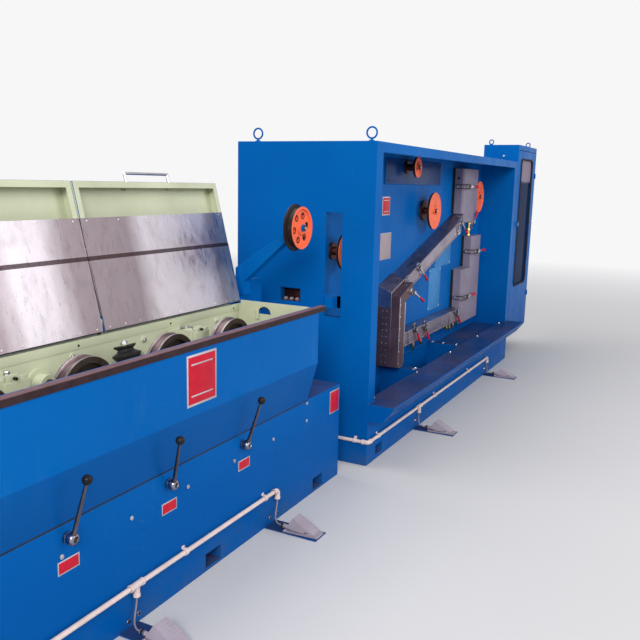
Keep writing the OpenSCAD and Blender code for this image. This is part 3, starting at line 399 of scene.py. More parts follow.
M = {
    "blue": blue_paint(), "green": green_paint(),
    "tray": tray_paint(),
    "lid_right": lid_paint("right"), "lid_left": lid_paint("left"), "liner": liner_steel(),
    "chrome": steel("bright_chrome", (0.56, 0.55, 0.57), (0.40, 0.39, 0.41), rough=0.18),
    "zinc": steel("zinc_screws", (0.66, 0.65, 0.66), (0.42, 0.40, 0.42), rough=0.34),
    "stainless": steel("brushed_box", (0.130, 0.078, 0.090), (0.078, 0.046, 0.054), (0.04, 1, 1), 0.40, 420,
                       metal=0.35),
    "channel": steel("brushed_channel", (0.40, 0.345, 0.41), (0.27, 0.23, 0.285), (1, 1, 0.05), 0.34, 420),
    "iron": steel("dark_iron", (0.075, 0.065, 0.07), (0.035, 0.03, 0.035), rough=0.45),
    "gunmetal": steel("gunmetal", (0.185, 0.150, 0.160), (0.115, 0.092, 0.100), rough=0.24),
    "hub": steel("hub_steel", (0.30, 0.30, 0.36), (0.19, 0.185, 0.225), rough=0.20),
    "brown_iron": steel("brown_iron", (0.16, 0.06, 0.05), (0.09, 0.035, 0.03), rough=0.5),
    "brass": steel("brass_fittings", (0.83, 0.55, 0.17), (0.55, 0.33, 0.09), rough=0.28),
    "silver": steel("silver_trim", (0.70, 0.66, 0.70), (0.52, 0.49, 0.53), rough=0.36),
    "black": plastic("black_plastic", (0.016, 0.015, 0.017), (0.030, 0.028, 0.030), 0.36),
    "rubber": plastic("black_rubber", (0.014, 0.013, 0.014), (0.028, 0.026, 0.027), 0.62),
    "knob": plastic("knob_resin", (0.010, 0.010, 0.012), (0.018, 0.017, 0.019), 0.20, 60, 0.01),
    "strip": edge_strip(),
    "pvc": plastic("pale_conduit", (0.75, 0.61, 0.58), (0.60, 0.48, 0.45), 0.34),
    "sheath": plastic("lead_sheath", (0.30, 0.25, 0.27), (0.20, 0.165, 0.18), 0.42),
    "grip": plastic("red_grip", (0.60, 0.012, 0.030), (0.40, 0.008, 0.020), 0.36),
    "gray": gray_paint("gray_paint", (0.245, 0.210, 0.275), (0.190, 0.162, 0.215)),
    "cast": gray_paint("cast_gray", (0.43, 0.37, 0.43), (0.31, 0.265, 0.31), 0.42),
    "red": enamel("red_enamel", (0.56, 0.010, 0.030)),
    "plate": gray_paint("plain_plate", (0.40, 0.32, 0.34), (0.33, 0.265, 0.285), 0.4),
    "panel": enamel("panel_blue", (0.035, 0.235, 0.560), 0.34),
    "deep": enamel("deep_blue", (0.0020, 0.040, 0.170), 0.34),
    "glass": glass(),
}


# Mesh building
def steps(total, n):
    """From 0 to the total in n steps."""
    return [total * k / n for k in range(n + 1)]


def turns(n):
    """Angles all round a circle in n steps."""
    return steps(2 * math.pi, n)[:-1]


def round_rect(cx, cz, w, h, r, n=8):
    pts = []
    for sx, sz, a0 in ((1, 1, 0), (-1, 1, 90), (-1, -1, 180), (1, -1, 270)):
        for k in range(n + 1):
            a = math.radians(a0 + 90 * k / n)
            pts.append((cx + sx * (w / 2 - r) + r * math.cos(a), cz + sz * (h / 2 - r) + r * math.sin(a)))
    return pts


def frame_at(origin, axis):
    """A matrix that takes local +Z to an axis at an origin."""
    z = Vector(axis).normalized()
    ref = Vector(RIGHT) if abs(z.x) < 0.9 else Vector(BACK)
    x = (ref - z * ref.dot(z)).normalized()
    y = z.cross(x)
    m = Matrix((x, y, z)).transposed().to_4x4()
    m.translation = Vector(origin)
    return m


# Degrees above which an edge is shaded sharp or is rounded, then two limits: points that are closer
# than WELD (metres) become one, and a radius below POLE (millimetres) counts as none
PIECE_SHARP, SKIN_SHARP, SKIN_EDGE = 40, 14, 12
WELD, POLE = 2e-6, 1e-6


class Piece:
    """Geometry in millimetres of the row frame, gathered into one object."""

    def __init__(self, name, body, mats, slot=None):
        self.name, self.body, self.slot = name, body, slot
        self.mats = [M[m] for m in mats]
        self.main = bmesh.new()

    def merge(self, part, mat, matrix=None):
        """Adds a part, with one material number or, for None, with its own ones."""
        if matrix is not None:
            part.transform(matrix)
        if mat is not None:
            for f in part.faces:
                f.material_index = mat
        mesh = bpy.data.meshes.new("part")
        part.to_mesh(mesh)
        part.free()
        self.main.from_mesh(mesh)
        bpy.data.meshes.remove(mesh)

    @staticmethod
    def soften(part, width):
        if width > 0:
            edges = [e for e in part.edges if len(e.link_faces) == 2 and e.calc_face_angle(0) > 0.5]
            bmesh.ops.bevel(part, geom=edges, offset=width, segments=2, profile=0.6,
                            affect="EDGES", clamp_overlap=True)

    @staticmethod
    def skin(part, rings, closed=False):
        """Faces from ring to ring. Open rows get a face at each end, unless it is one point."""
        for lo, hi in zip(rings, rings[1:] + rings[:1] if closed else rings[1:]):
            n = max(len(lo), len(hi))
            for k in range(n):
                k2 = (k + 1) % n
                face = [lo[k % len(lo)], lo[k2 % len(lo)], hi[k2 % len(hi)], hi[k % len(hi)]]
                face = list(dict.fromkeys(face))
                if len(face) > 2:
                    part.faces.new(face)
        for ring in (rings[0][::-1], rings[-1]):
            if len(ring) > 1 and not closed:
                part.faces.new(ring)

    def box(self, a, b, mat=0, bevel=1.0, matrix=None):
        part = bmesh.new()
        bmesh.ops.create_cube(part, size=1.0)
        size = [b[i] - a[i] for i in range(3)]
        mid = [(b[i] + a[i]) / 2 for i in range(3)]
        part.transform(Matrix.Translation(mid) @ Matrix.Diagonal((*size, 1.0)))
        self.soften(part, min(bevel, 0.45 * min(size)))
        self.merge(part, mat, matrix)

    def lathe(self, origin, axis, profile, mat=0, seg=32, hollow=False):
        """A profile of (radius, height) points turned about an axis. Its ends close on the axis,
        or with hollow on each other."""
        part = bmesh.new()
        rings = []
        for r, h in profile:
            r = 0 if r < POLE else r
            angles = turns(seg) if r else [0]
            rings.append([part.verts.new((r * math.cos(a), r * math.sin(a), h)) for a in angles])
        self.skin(part, rings, hollow)
        bmesh.ops.recalc_face_normals(part, faces=part.faces)
        self.merge(part, mat, frame_at(origin, axis))

    def button(self, origin, axis, r, top, h, crown, mat=0, seg=16):
        """A low round head: its radius at foot and top, its height at the edge and in the middle."""
        self.lathe(origin, axis, [(0, 0), (r, 0), (top, h), (0, crown)], mat, seg)

    def rod(self, p, q, r, mat=0, seg=24, bevel=0.6):
        p, q = Vector(p), Vector(q)
        h = (q - p).length
        e = min(bevel, 0.4 * r, 0.4 * h)
        self.lathe(p, q - p, [(0, 0), (r - e, 0), (r, e), (r, h - e), (r - e, h), (0, h)], mat, seg)

    def tube(self, points, r, mat=0, seg=12, closed=False):
        pts = [Vector(p) for p in points]
        n = len(pts)
        part = bmesh.new()
        rings = []
        up = None
        for i, p in enumerate(pts):
            a = pts[(i - 1) % n] if closed or i else pts[i]
            b = pts[(i + 1) % n] if closed or i < n - 1 else pts[i]
            t = (b - a).normalized()
            if up is None:
                up = Vector(UP) if abs(t.z) < 0.9 else Vector(BACK)
            up = (up - t * up.dot(t)).normalized()
            v = t.cross(up)
            rings.append([part.verts.new(p + (up * math.cos(a) + v * math.sin(a)) * r) for a in turns(seg)])
        self.skin(part, rings, closed)
        bmesh.ops.recalc_face_normals(part, faces=part.faces)
        self.merge(part, mat)

    def hexagon(self, origin, axis, across, h, mat=0, socket=False, turn=0.0):
        """A hex head, or with socket a round cap screw with its hexagon sunk in."""
        if socket:
            r = across / 2
            self.lathe(origin, axis, [(0, 0), (r, 0), (r, h - 0.12 * r), (0.86 * r, h), (0.56 * r, h),
                                      (0.50 * r, h * 0.4), (0, h * 0.4)], mat, 24)
            return
        r = across / math.sqrt(3)
        part = bmesh.new()
        rings = []
        for rr, z in ((r, 0), (r, h * 0.86), (r * 0.9, h)):
            rings.append([part.verts.new((rr * math.cos(a + turn), rr * math.sin(a + turn), z))
                          for a in turns(6)])
        self.skin(part, rings)
        self.merge(part, mat, frame_at(origin, axis))

    def done(self, replaces=(), matrix=None):
        mesh = bpy.data.meshes.new(self.name)
        if matrix is not None:
            self.main.transform(matrix)
        self.main.transform(Matrix.Scale(MM, 4))
        self.main.to_mesh(mesh)
        self.main.free()
        for m in self.mats:
            mesh.materials.append(m)
        mesh.shade_smooth()
        mesh.set_sharp_from_angle(angle=math.radians(PIECE_SHARP))
        obj = bpy.data.objects.new(self.name, mesh)
        bpy.context.scene.collection.objects.link(obj)
        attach(obj, self.body)
        if replaces:
            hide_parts(*replaces)


def refine(name, node_names, mat, body, width):
    """One sheet-metal skin from CAD nodes: welded, fused, and its edges rounded."""
    base = None
    for node in node_names:
        bm = bmesh.new()
        bm.from_mesh(nodes[node].data)
        bmesh.ops.remove_doubles(bm, verts=bm.verts, dist=WELD)
        mesh = bpy.data.meshes.new(name)
        bm.to_mesh(mesh)
        bm.free()
        obj = bpy.data.objects.new(name, mesh)
        bpy.context.scene.collection.objects.link(obj)
        if base is None:
            base = obj
            continue
        mod = base.modifiers.new("fuse", "BOOLEAN")
        mod.operation = "UNION"
        mod.solver = "EXACT"
        mod.object = obj
        bpy.context.view_layer.update()
        fused = bpy.data.meshes.new_from_object(base.evaluated_get(bpy.context.evaluated_depsgraph_get()))
        base.modifiers.clear()
        base.data = fused
        bpy.data.objects.remove(obj)
    bm = bmesh.new()
    bm.from_mesh(base.data)
    bmesh.ops.remove_doubles(bm, verts=bm.verts, dist=WELD)
    bmesh.ops.dissolve_limit(bm, angle_limit=math.radians(0.6), verts=bm.verts, edges=bm.edges)
    edges = [e for e in bm.edges if len(e.link_faces) == 2 and e.calc_face_angle(0) > math.radians(SKIN_EDGE)]
    bmesh.ops.bevel(bm, geom=edges, offset=width * MM, segments=2, profile=0.5,
                    affect="EDGES", clamp_overlap=True, harden_normals=False)
    mesh = bpy.data.meshes.new(name)
    bm.to_mesh(mesh)
    bm.free()
    base.data = mesh
    mesh.materials.append(M[mat])
    mesh.shade_smooth()
    mesh.set_sharp_from_angle(angle=math.radians(SKIN_SHARP))
    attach(base, body)
    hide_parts(*node_names)


def dress(node, mat):
    """Puts a material, or one named in M, on a CAD node."""
    obj = nodes[node]
    obj.data.materials.clear()
    obj.data.materials.append(M[mat] if isinstance(mat, str) else mat)


# Sheet-metal skins
refine("drawing_unit_skin", ["drawing_base", "gear_housing"], "blue", "frame", 4)
refine("annealer_skin", ["annealer_cabinet", "annealer_end_wall", "annealer_roof",
                         "annealer_right_post", "annealer_sump", "sill"], "blue", "frame", 4)
refine("tower_skin", ["tower_body"], "blue", "frame", 4)
refine("tower_door_skin", ["tower_door"], "blue", "tower_door", 2)
refine("tray_skin", ["tray", "tray_front", "tray_end_plate"], "tray", "frame", 1.2)
for side in ("right", "left"):
    refine("lid_skin_" + side, ["lid_" + side], "lid_" + side, "lid_" + side, 1.0)
for box in ("upper_box", "lower_box"):
    refine(box + "_skin", [box], "gray", "frame", 3)
refine("contact_box_skin", ["contact_box"], "stainless", "frame", 3)
for channel in ("wire_channel", "return_channel"):
    refine(channel + "_skin", [channel], "channel", "frame", 3)
refine("die_holder_skin", ["die_holders"], "green", "frame", 2)
refine("support_arm_skin", ["support_arm"], "blue", "frame", 3)

# CAD nodes that keep their shape
dress("rim_strip", "strip")
for side in ("right", "left"):
    dress("liner_" + side, "liner")
    dress("handle_" + side, "chrome")
CAPSTANS = {1: -1.000, 2: -0.533, 3: -0.040, 4: 0.401}
CAP_Z = 881
for i, x in CAPSTANS.items():
    dress(f"capstan_{i}", capstan_steel(f"capstan_steel_{i}", x, CAP_Z * MM))
for node, mat in (("capstan_bearings", "green"), ("guide_roller", "black"), ("switch_leads", "sheath"),
                  ("foot_switches", "cast"), ("window_pane", "glass"), ("pulley_brackets", "brown_iron")):
    dress(node, mat)
for i in range(1, 5):
    dress(f"pedal_{i}", "cast")
# Each wheel's middle in X and Z, the radius and the depth where its dark edge starts, and its front
PULLEYS = {"arm_pulley": (0.970, 1.415, 0.1035, -0.4265, -0.440),
           "slot_pulley": (1.516, 1.253, 0.1045, -0.4355, -0.440),
           "top_pulley": (2.660, 1.772, 0.0675, -0.4355, -0.440),
           "middle_pulley": (3.066, 1.457, 0.1345, -0.4355, -0.440),
           "far_pulley": (4.370, 1.556, 0.1365, -0.4055, -0.410)}
for name, spec in PULLEYS.items():
    dress(name, wheel_paint(name + "_enamel", *spec))


# Name plates, left bare
def plate(name, x0, x1, z0, z1, y, face="red", border=7.0, bars=False):
    p = Piece(name, "frame", ["silver", face, "zinc"], "bright_steel")
    t = 1.6
    p.box((x0, y - t, z0), (x1, y, z1), 0, 0.6)
    p.box((x0 + border, y - t - 0.5, z0 + border), (x1 - border, y - t + 0.4, z1 - border), 1, 0.3)
    w, h = x1 - x0, z1 - z0
    if bars:
        # A plain frame line and two rules
        for k in (0.18, 0.79):
            p.box((x0 + 0.14 * w, y - t - 1.1, z0 + k * h),
                  (x1 - 0.14 * w, y - t - 0.2, z0 + (k + 0.03) * h), 0, 0.3)
    inset = border * 0.5
    for cx in (x0 + inset, x1 - inset):
        for cz in (z0 + inset, z1 - inset):
            p.button((cx, y - t, cz), FRONT, 1.9, 1.6, 1.0, 1.3, 2, 12)
    p.done()


plate("tray_plate", -250, -57, 785, 990, TRAY_FRONT * 1000, border=9, bars=True)
plate("end_plate", 1090, 1205, 390, 520, BASE_FRONT)
for k, (a, b) in enumerate(((-862, -766), (-339, -247), (189, 283))):
    plate(f"lever_plate_{3 - k}", a, b, 366, 414, BASE_FRONT, border=5)
plate("wall_plate_red", 2262, 2396, 1440, 1566, WALL, bars=True)
plate("wall_plate_plain", 2240, 2440, 1137, 1319, WALL, "plate", border=2)

# Screws along the drawing base and beside the annealer's foot switches
p = Piece("base_screws", "frame", ["zinc", "black"], "bright_steel")
for k in range(6):
    p.hexagon((822 - 333.2 * k, BASE_FRONT, 430), FRONT, 17, 6, socket=True)
p.hexagon((822, BASE_FRONT, 524), FRONT, 17, 6, socket=True)
for x, z in ((-536, 28), (-478, 32), (471, 33), (538, 30)):
    p.button((x, BASE_FRONT, z), FRONT, 9.5, 9, 1.6, 1.6, 0, 20)
    p.button((x, BASE_FRONT - 1, z), FRONT, 7.5, 7.5, 1.2, 1.2, 1, 20)
for x in (2253, 3992):
    for dx, dz in ((-28, 60), (-8, 56)):
        p.button((x + dx, SUMP_FRONT, dz), FRONT, 6, 5, 3, 4)
p.done()

# Hand levers, and the short bosses that they turn on
LEVERS = ((224, -8), (-296, -19), (-816, -5))
LEVER_Z, LEVER_L, LEVER_OUT = 487, 250, math.radians(22)
p = Piece("lever_boss_set", "frame", ["hub"], "dark_steel")
for x, tilt in LEVERS:
    p.lathe((x, BASE_FRONT, LEVER_Z), FRONT, [(0, 0), (21.6, 0), (21.6, 9.5), (21.1, 10), (0, 10)], 0, 40)
p.done(replaces=["lever_bosses"])
for i, (x, tilt) in enumerate(LEVERS):
    body = f"lever_{i + 1}"
    place = Matrix.Translation((x, BASE_FRONT - 10.3, LEVER_Z)) @ Matrix.Rotation(math.radians(tilt), 4, "Y")
    p = Piece(body + "_grip", body, ["gunmetal", "knob", "iron", "hub"], "chrome_rod")
    # Turned hub with a rounded front and a dark bore in its face
    p.lathe((0, 0, 0), FRONT, [(9.2, 0), (20.9, 0), (21.6, 1), (22, 8), (22, 17), (20.4, 24), (16.5, 29),
                               (11, 30.5), (9.6, 27), (0, 27)], 3, 40)
    p.button((0, -26.5, 0), FRONT, 9.4, 9.4, 1.2, 1.2, 2, 24)
    root = Vector((0, -15, 0))
    d = Vector((0, -math.sin(LEVER_OUT), math.cos(LEVER_OUT)))
    p.lathe(root, d, [(0, 6), (9.5, 6), (9.5, 30), (8, 34), (7.6, 60), (6.2, 205), (5.5, 212), (5.5, 234),
                      (0, 234)], 0, 28)
    r = 17.5
    ball = [(0, LEVER_L - 15.2), (6.2, LEVER_L - 15.2), (6.6, LEVER_L - 14.7)]
    for k in range(19):
        a = math.radians(30 + 150 * k / 18)
        ball.append((r * math.sin(a), LEVER_L - r * math.cos(a)))
    p.lathe(root, d, ball, 1, 32)
    p.done(replaces=[body], matrix=place)

# Capstan fronts and the roller's nut
for i, x in CAPSTANS.items():
    p = Piece(f"capstan_{i}_hub", f"capstan_{i}", ["iron", "zinc"], "dark_steel")
    cx = x * 1000
    p.lathe((cx, -402, CAP_Z), FRONT, [(20, 0), (31, 0), (33, 1.5), (33, 3.5), (31, 5), (0, 5)], 0, 40)
    p.hexagon((cx, -407, CAP_Z), FRONT, 24, 6, 1)
    for k in range(6):
        a = math.radians(60 * k + 12)
        p.hexagon((cx + 70 * math.cos(a), -389, CAP_Z + 70 * math.sin(a)), FRONT, 15, 6, socket=True)
    p.done()
p = Piece("roller_nut", "frame", ["zinc"], "bright_steel")
ROLLER_UP = Vector((0, math.sin(math.radians(16)), math.cos(math.radians(16))))
ROLLER_AT = Vector((-198, -289, 914))
p.hexagon(ROLLER_AT + ROLLER_UP * 76, ROLLER_UP, 26, 9, 0, turn=0.3)
p.rod(ROLLER_AT + ROLLER_UP * 76, ROLLER_AT + ROLLER_UP * 92, 6, 0)
p.done()

# Tray: a black strip along its seam on the base that stands for the shadow gap there; the black rim of the
# wire's outlet, the drain stub
p = Piece("tray_seam_shadow", "frame", ["black"], "edge_rubber")
p.box((-1191, -566.4, 536.6), (827, -562, 542.2), 0, 0.5)
p.done()
p = Piece("outlet_fittings", "frame", ["black", "green"], "green_paint")
p.tube([(824, -303 - 36 * math.cos(a), 966 + 36 * math.sin(a)) for a in steps(math.pi, 16)], 4)
p.lathe((812, -266, 941), UP, [(0, 0), (9, 0), (9, 38), (10.5, 39), (10.5, 44), (7, 44), (6, 38), (0, 38)],
        1, 24)
p.done()

# Inside of the tray: band along its back, bosses, the die holders' bolts and cases
p = Piece("tray_back_band", "frame", ["green", "zinc", "iron"], "green_paint")
p.box((-1185, -146.4, 974), (821, -143.5, 1009), 0, 0.8)
for x, z in ((614, 946), (-362, 952), (60, 946)):
    p.lathe((x, -144, z), FRONT, [(0, 0), (15, 0), (15, 3), (12, 6), (0, 6)], 0, 24)
    p.hexagon((x, -149, z), FRONT, 17, 9, 1)
for x in (-900, -326, 250, 770):
    p.button((x, -146, 989), FRONT, 5.5, 4.5, 2.5, 3, 2)
p.done()
p = Piece("die_holder_bolts", "frame", ["chrome", "green", "iron"], "bright_steel")
for cx in (-760, 280):
    for dx, dy, z in ((-8, -266, 966), (-62, -240, 980), (34, -210, 966)):
        p.button((cx + dx, dy, z - 0.5), UP, 13, 13, 2.5, 2.5, 0, 24)
        p.hexagon((cx + dx, dy, z + 2), UP, 19, 11, 0, turn=0.5 * dx)
    # Die case with its clamp screw, standing on the block
    p.box((cx - 38, -302, 966), (cx + 6, -286, 990), 1, 2)
    p.box((cx + 12, -305, 958), (cx + 44, -296, 982), 1, 2)
    p.rod((cx - 16, -306, 978), (cx - 16, -320, 978), 6, 2)
p.done()

# Lids: seal under each liner, rivets, folded edge
for side, x0m in LID_X.items():
    x0, x1 = x0m * 1000, (x0m + LID_L) * 1000
    place = Matrix.Translation((0, AXIS_Y * 1000, AXIS_Z * 1000)) @ Matrix.Rotation(-LEAN, 4, "X")
    p = Piece("lid_seal_" + side, "lid_" + side, ["rubber", "zinc", "green", "liner"], "edge_rubber")
    p.box((x0 + 2, -14.6, -46.8), (x1 - 2, -11.8, -43.4), 0, 0.4)
    for k in range(11):
        x = x0 + 32 + (x1 - x0 - 64) * k / 10
        p.button((x, -15, -31), FRONT, 4, 3.2, 1.2, 1.7, 1, 12)
        if k % 2 == 0:
            p.button((x, -13, 419), FRONT, 4, 3.2, 1.2, 1.7, 1, 12)
    # Folded edge that narrows the gap to the other lid, steel beside the liner
    lo, hi = (x0 - 3.5, x0) if side == "right" else (x1, x1 + 3.5)
    p.box((lo, -12.5, 20), (hi, 40, 431), 3, 0.5)
    p.box((lo, -9, 431), (hi, 40, 584), 2, 0.5)
    # Screws behind the handle's feet
    for dx in (-150, 150):
        cx = (x0 + x1) / 2 + dx
        for dz in (-9, 9):
            p.button((cx + dz, 40, 560), FRONT, 6, 5, 4, 4.5, 1)
    p.done(matrix=place)


# Toggle clamps
def clamp(p, x, y, z, angle, reach=140, size=1.0):
    """A pull clamp on a front face: short wire loop, pivot bracket, link and gripped handle."""
    place = Matrix.Translation((x, y, z)) @ Matrix.Rotation(math.radians(angle), 4, "Y")
    place = place @ Matrix.Scale(size, 4)
    q = Piece("tmp", "frame", ["iron", "grip", "zinc"])
    q.box((-34, -6, -13), (34, 0, 13), 2, 1.2)
    q.box((-20, -26, -11), (16, -5, -6), 2, 1.5)
    q.box((-20, -26, 6), (16, -5, 11), 2, 1.5)
    q.rod((-2, -19, -13), (-2, -19, 13), 4, 2)
    # Loop: one wire that runs out and back round a bend
    bend = [(-52 - 9.5 * math.sin(a), -18, 9.5 * math.cos(a)) for a in steps(math.pi, 8)]
    q.tube([(12, -20, 9.5)] + bend + [(12, -20, -9.5)], 2.6, 0, 10)
    q.box((-72, -16, -12), (-56, 0, 12), 2, 2)
    # Link and handle
    q.box((10, -23, -5), (reach - 78, -17, 5), 2, 1.5)
    q.lathe((reach - 90, -20, 0), RIGHT, [(0, 0), (5, 0), (6.2, 3), (7, 26), (9, 62), (11, 80), (10.4, 86),
                                          (6, 89.5), (0, 90)], 1, 20)
    p.merge(q.main, None, place)


p = Piece("clamp_set", "frame", ["iron", "grip", "zinc"], "bright_steel")
for x, z, angle, reach in ((4075, 1345, -48, 112), (3737, 1335, 32, 172), (2756, 1044, 34, 180),
                           (3737, 568, 50, 120), (2728, 585, 52, 118), (2942, 568, 58, 114)):
    clamp(p, x, BOX_FRONT, z, angle, reach)
# The three covers of the gray boxes: a larger clamp whose hook reaches round the box's left edge
for x, z, left in ((3922, 1645, 3773), (4272, 1072, 4125), (4032, 684, 3865)):
    clamp(p, x, BOX_FRONT, z, 0, size=1.25)
    hook = [(x - 40, -464, 17), (left - 2, -464, 17), (left - 9, -456, 16), (left - 9, -384, 14),
            (left - 9, -374, 8)]
    hook += [(a, b, -c) for a, b, c in reversed(hook)]
    p.tube([(a, b, z + c) for a, b, c in hook], 3.2, 0, 10)
    p.box((left - 9, -392, z - 12), (left, -366, z + 12), 2, 2)
clamp(p, 2490, COVER_FRONT, 899, 24, 195)
p.done(replaces=["toggle_clamps"])

# Conduit with its tees, elbows and saddles
p = Piece("conduit_runs", "frame", ["pvc", "zinc"], "pale_plastic")
PIPE_R, SLEEVE_R, COLLAR_R, SADDLE_R = 10, 12.6, 14.6, 12.5
CY, CZ, AY, AZ = -579, 165, -671, 152
END_X, SUMP_X = 1398, 1412
p.tube([(-1185 + k, CY, CZ) for k in steps(1690, 6)], PIPE_R, 0, 20)
corner = [(END_X + 14 - 14 * math.sin(a), AY + 14 - 14 * math.cos(a), AZ) for a in steps(math.pi / 2, 6)]
run = [(4002, AY, AZ), (3000, AY, AZ), (2000, AY, AZ)] + corner + [(END_X, -560, AZ), (END_X, -469, AZ)]
p.tube(run, PIPE_R, 0, 20)
# Elbow round the annealer's corner, with its collars, and a saddle on the short run behind it
p.tube([(END_X + 36, AY, AZ)] + corner + [(END_X, AY + 36, AZ)], SLEEVE_R, 0, 20)
p.rod((END_X + 28, AY, AZ), (END_X + 40, AY, AZ), COLLAR_R, 0, 28, 1.5)
p.rod((END_X, AY + 28, AZ), (END_X, AY + 40, AZ), COLLAR_R, 0, 28, 1.5)
p.rod((END_X, -594, AZ), (END_X, -576, AZ), SLEEVE_R, 0, 28, 1)
p.box((END_X - 1, -594, AZ + 11), (SUMP_X, -576, AZ + 14), 0, 0.6)
p.box((SUMP_X - 3, -594, AZ + 11), (SUMP_X, -576, AZ + 24), 0, 0.6)
for x, y, z, through in ((-505, CY, CZ, True), (515, CY, CZ, False), (2263, AY, AZ, True),
                         (4002, AY, AZ, False)):
    if through:
        p.rod((x - 37, y, z), (x + 37, y, z), 13.4, 0, 28, 2)
        p.rod((x, y, z), (x, y, z - 40), 12.4, 0, 28, 1)
    else:
        # An elbow that bends round into its drop
        bend = [(x - 37, y, z), (x - 22, y, z)]
        bend += [(x - 18 + 18 * math.sin(a), y, z - 18 + 18 * math.cos(a)) for a in steps(math.pi / 2, 8)]
        p.tube(bend + [(x, y, z - 40)], SLEEVE_R, 0, 24)
    for a in (x - 37, x + 27) if through else (x - 37,):
        p.rod((a, y, z), (a + 10, y, z), COLLAR_R, 0, 28, 1.5)
    p.rod((x, y, z - 34), (x, y, z - 46), 14.2, 0, 28, 1.5)
SADDLES = [(x, CY, CZ, BASE_FRONT) for x in (-1050, -211, 398)]
SADDLES += [(x, AY, AZ, SUMP_FRONT) for x in (1552, 2592, 3422)]
for x, y, z, face in SADDLES:
    arc = [Vector((x, y - SADDLE_R * math.cos(a), z + SADDLE_R * math.sin(a))) for a in
           [math.radians(-90 + k) for k in steps(180, 10)]]
    for q0, q1 in zip(arc, arc[1:]):
        d = q1 - q0
        p.box((-9, -d.length / 2 - 0.4, -1.3), (9, d.length / 2 + 0.4, 1.3), 0, 0.3,
              Matrix.Translation((q0 + q1) / 2) @ Matrix.Rotation(math.atan2(d.z, d.y), 4, "X"))
    for s in (-1, 1):
        p.box((x - 9, y, z + s * SADDLE_R - 1.4), (x + 9, face, z + s * SADDLE_R + 1.4), 0, 0.3)
        lo, hi = sorted((s * SADDLE_R, s * 23))
        p.box((x - 9, face - 3, z + lo), (x + 9, face, z + hi), 0, 0.6)
        p.button((x, face - 3, z + s * 18), FRONT, 4, 3, 2.4, 3, 1, 14)
p.done(replaces=["conduits"])

# Foot switches: ribs, pin ends, glands and foot plates
SWITCHES = ((-536, -665), (470, -665), (2253, -757), (3992, -757))
PEDAL_SLOPE = Matrix.Rotation(math.atan2(57, 112), 4, "X")
for i, (x, yb) in enumerate(SWITCHES):
    p = Piece(f"pedal_ribs_{i + 1}", f"pedal_{i + 1}", ["cast", "zinc", "iron"], "gray_paint")
    for k in range(7):
        t = 0.10 + 0.12 * k
        y, z = -46 - 112 * t, 77 - 57 * t
        half = min(45 - 10 * z / 77, 45 + 12 * y / 178) - 4
        p.box((-half, -3, -1.0), (half, 3, 1.4), 0, 0.9, Matrix.Translation((x, yb + y, z)) @ PEDAL_SLOPE)
    # Ends of the toe pin, and the dark slot beside it
    for s in (-1, 1):
        p.button((x + s * 35.2, yb - 136, 17), (s, 0, 0), 4.4, 3.6, 1.6, 2, 1)
    p.box((x - 37.6, yb - 128, 20), (x - 34.4, yb - 96, 24), 2, 0.4)
    p.done()
p = Piece("switch_glands", "frame", ["black", "zinc", "blue"], "black_plastic")
for i, (x, yb) in enumerate(SWITCHES):
    face = BASE_FRONT if i < 2 else SUMP_FRONT
    p.hexagon((x - 22, yb + 2, 25), BACK, 22, 8, 1, turn=0.3)
    p.lathe((x - 22, yb + 9, 25), BACK, [(0, 0), (10.5, 0), (11, 1), (11, 9), (9, 13), (6.2, 18), (4.2, 20),
                                         (0, 20)], 0, 24)
    for s in (-1, 1):
        p.button((x + s * 37, yb - 7, 12), UP, 4.5, 3.6, 2.2, 2.8, 1)
    p.box((x - 53, yb - 182, 0.2), (x + 52, face, 4.0), 2, 1)
p.done()

# Panels on the mounting wall with their screws, a dark navy panel under the roof that stands for the roof's
# shade, and the dark hole in the upper box's side
p = Piece("bay_panels", "frame", ["panel", "zinc", "iron", "deep"], "blue_paint")
# Painted shade: the top panel is dark navy, standing for the shadow that the roof casts on it
p.box((2283, -349.4, 1653), (3419, -347, 1822), 3, 0.6)
for a, b in (((3400, 985), (3800, 1185)), ((3275, 640), (3560, 985))):
    p.box((a[0], WALL - 5, a[1]), (b[0], WALL + 1, b[1]), 0, 2)
    for cx in (a[0] + 18, b[0] - 18):
        for cz in (a[1] + 18, b[1] - 18):
            p.button((cx, WALL - 5, cz), FRONT, 6, 5, 2.5, 3.2, 1)
for x in (2340, 3380):
    for z in (1675, 1790):
        p.button((x, -349, z), FRONT, 8, 6.5, 3.5, 4.5, 2, 18)
p.button((3773, -392, 1714), LEFT, 11, 11, 1, 1, 2, 20)
p.done()

# Black strips down the left of the gray boxes, painted shade in the gaps between the boxes and the wall
p = Piece("box_gap_shade", "frame", ["black"], "black_plastic")
for x, z0, z1 in ((3773, 1420, 1792), (4125, 936, 1210), (3865, 458, 930)):
    p.box((x - 7, -362, z0), (x + 0.5, -341, z1), 0, 2)
p.done()

# Contact box: seams of its cover, and the bolts down its side and on its arm
p = Piece("contact_box_trim", "frame", ["stainless", "zinc", "silver"], "stainless")
p.box((2248.6, -442, 402), (2250.4, -438.6, 812), 2, 0.4)
for x in (2251, 2350):
    p.box((x, -504.5, 404), (x + 7, -501, 890 if x < 2300 else 848), 2, 0.8)
for k in range(9):
    for y in (-379, -409):
        p.hexagon((2250, y, 430 + 45 * k), LEFT, 11, 5, 1, turn=0.4 * k)
for k in range(6):
    p.button((2268, COVER_FRONT, 430 + 82 * k), FRONT, 5, 4, 2.6, 3.2, 1)
for k in range(2):
    p.button((2330 + 110 * k, -470, 919 + 36 * k), (-0.31, 0, 0.95), 7, 6, 4, 5, 1, 18)
p.done()

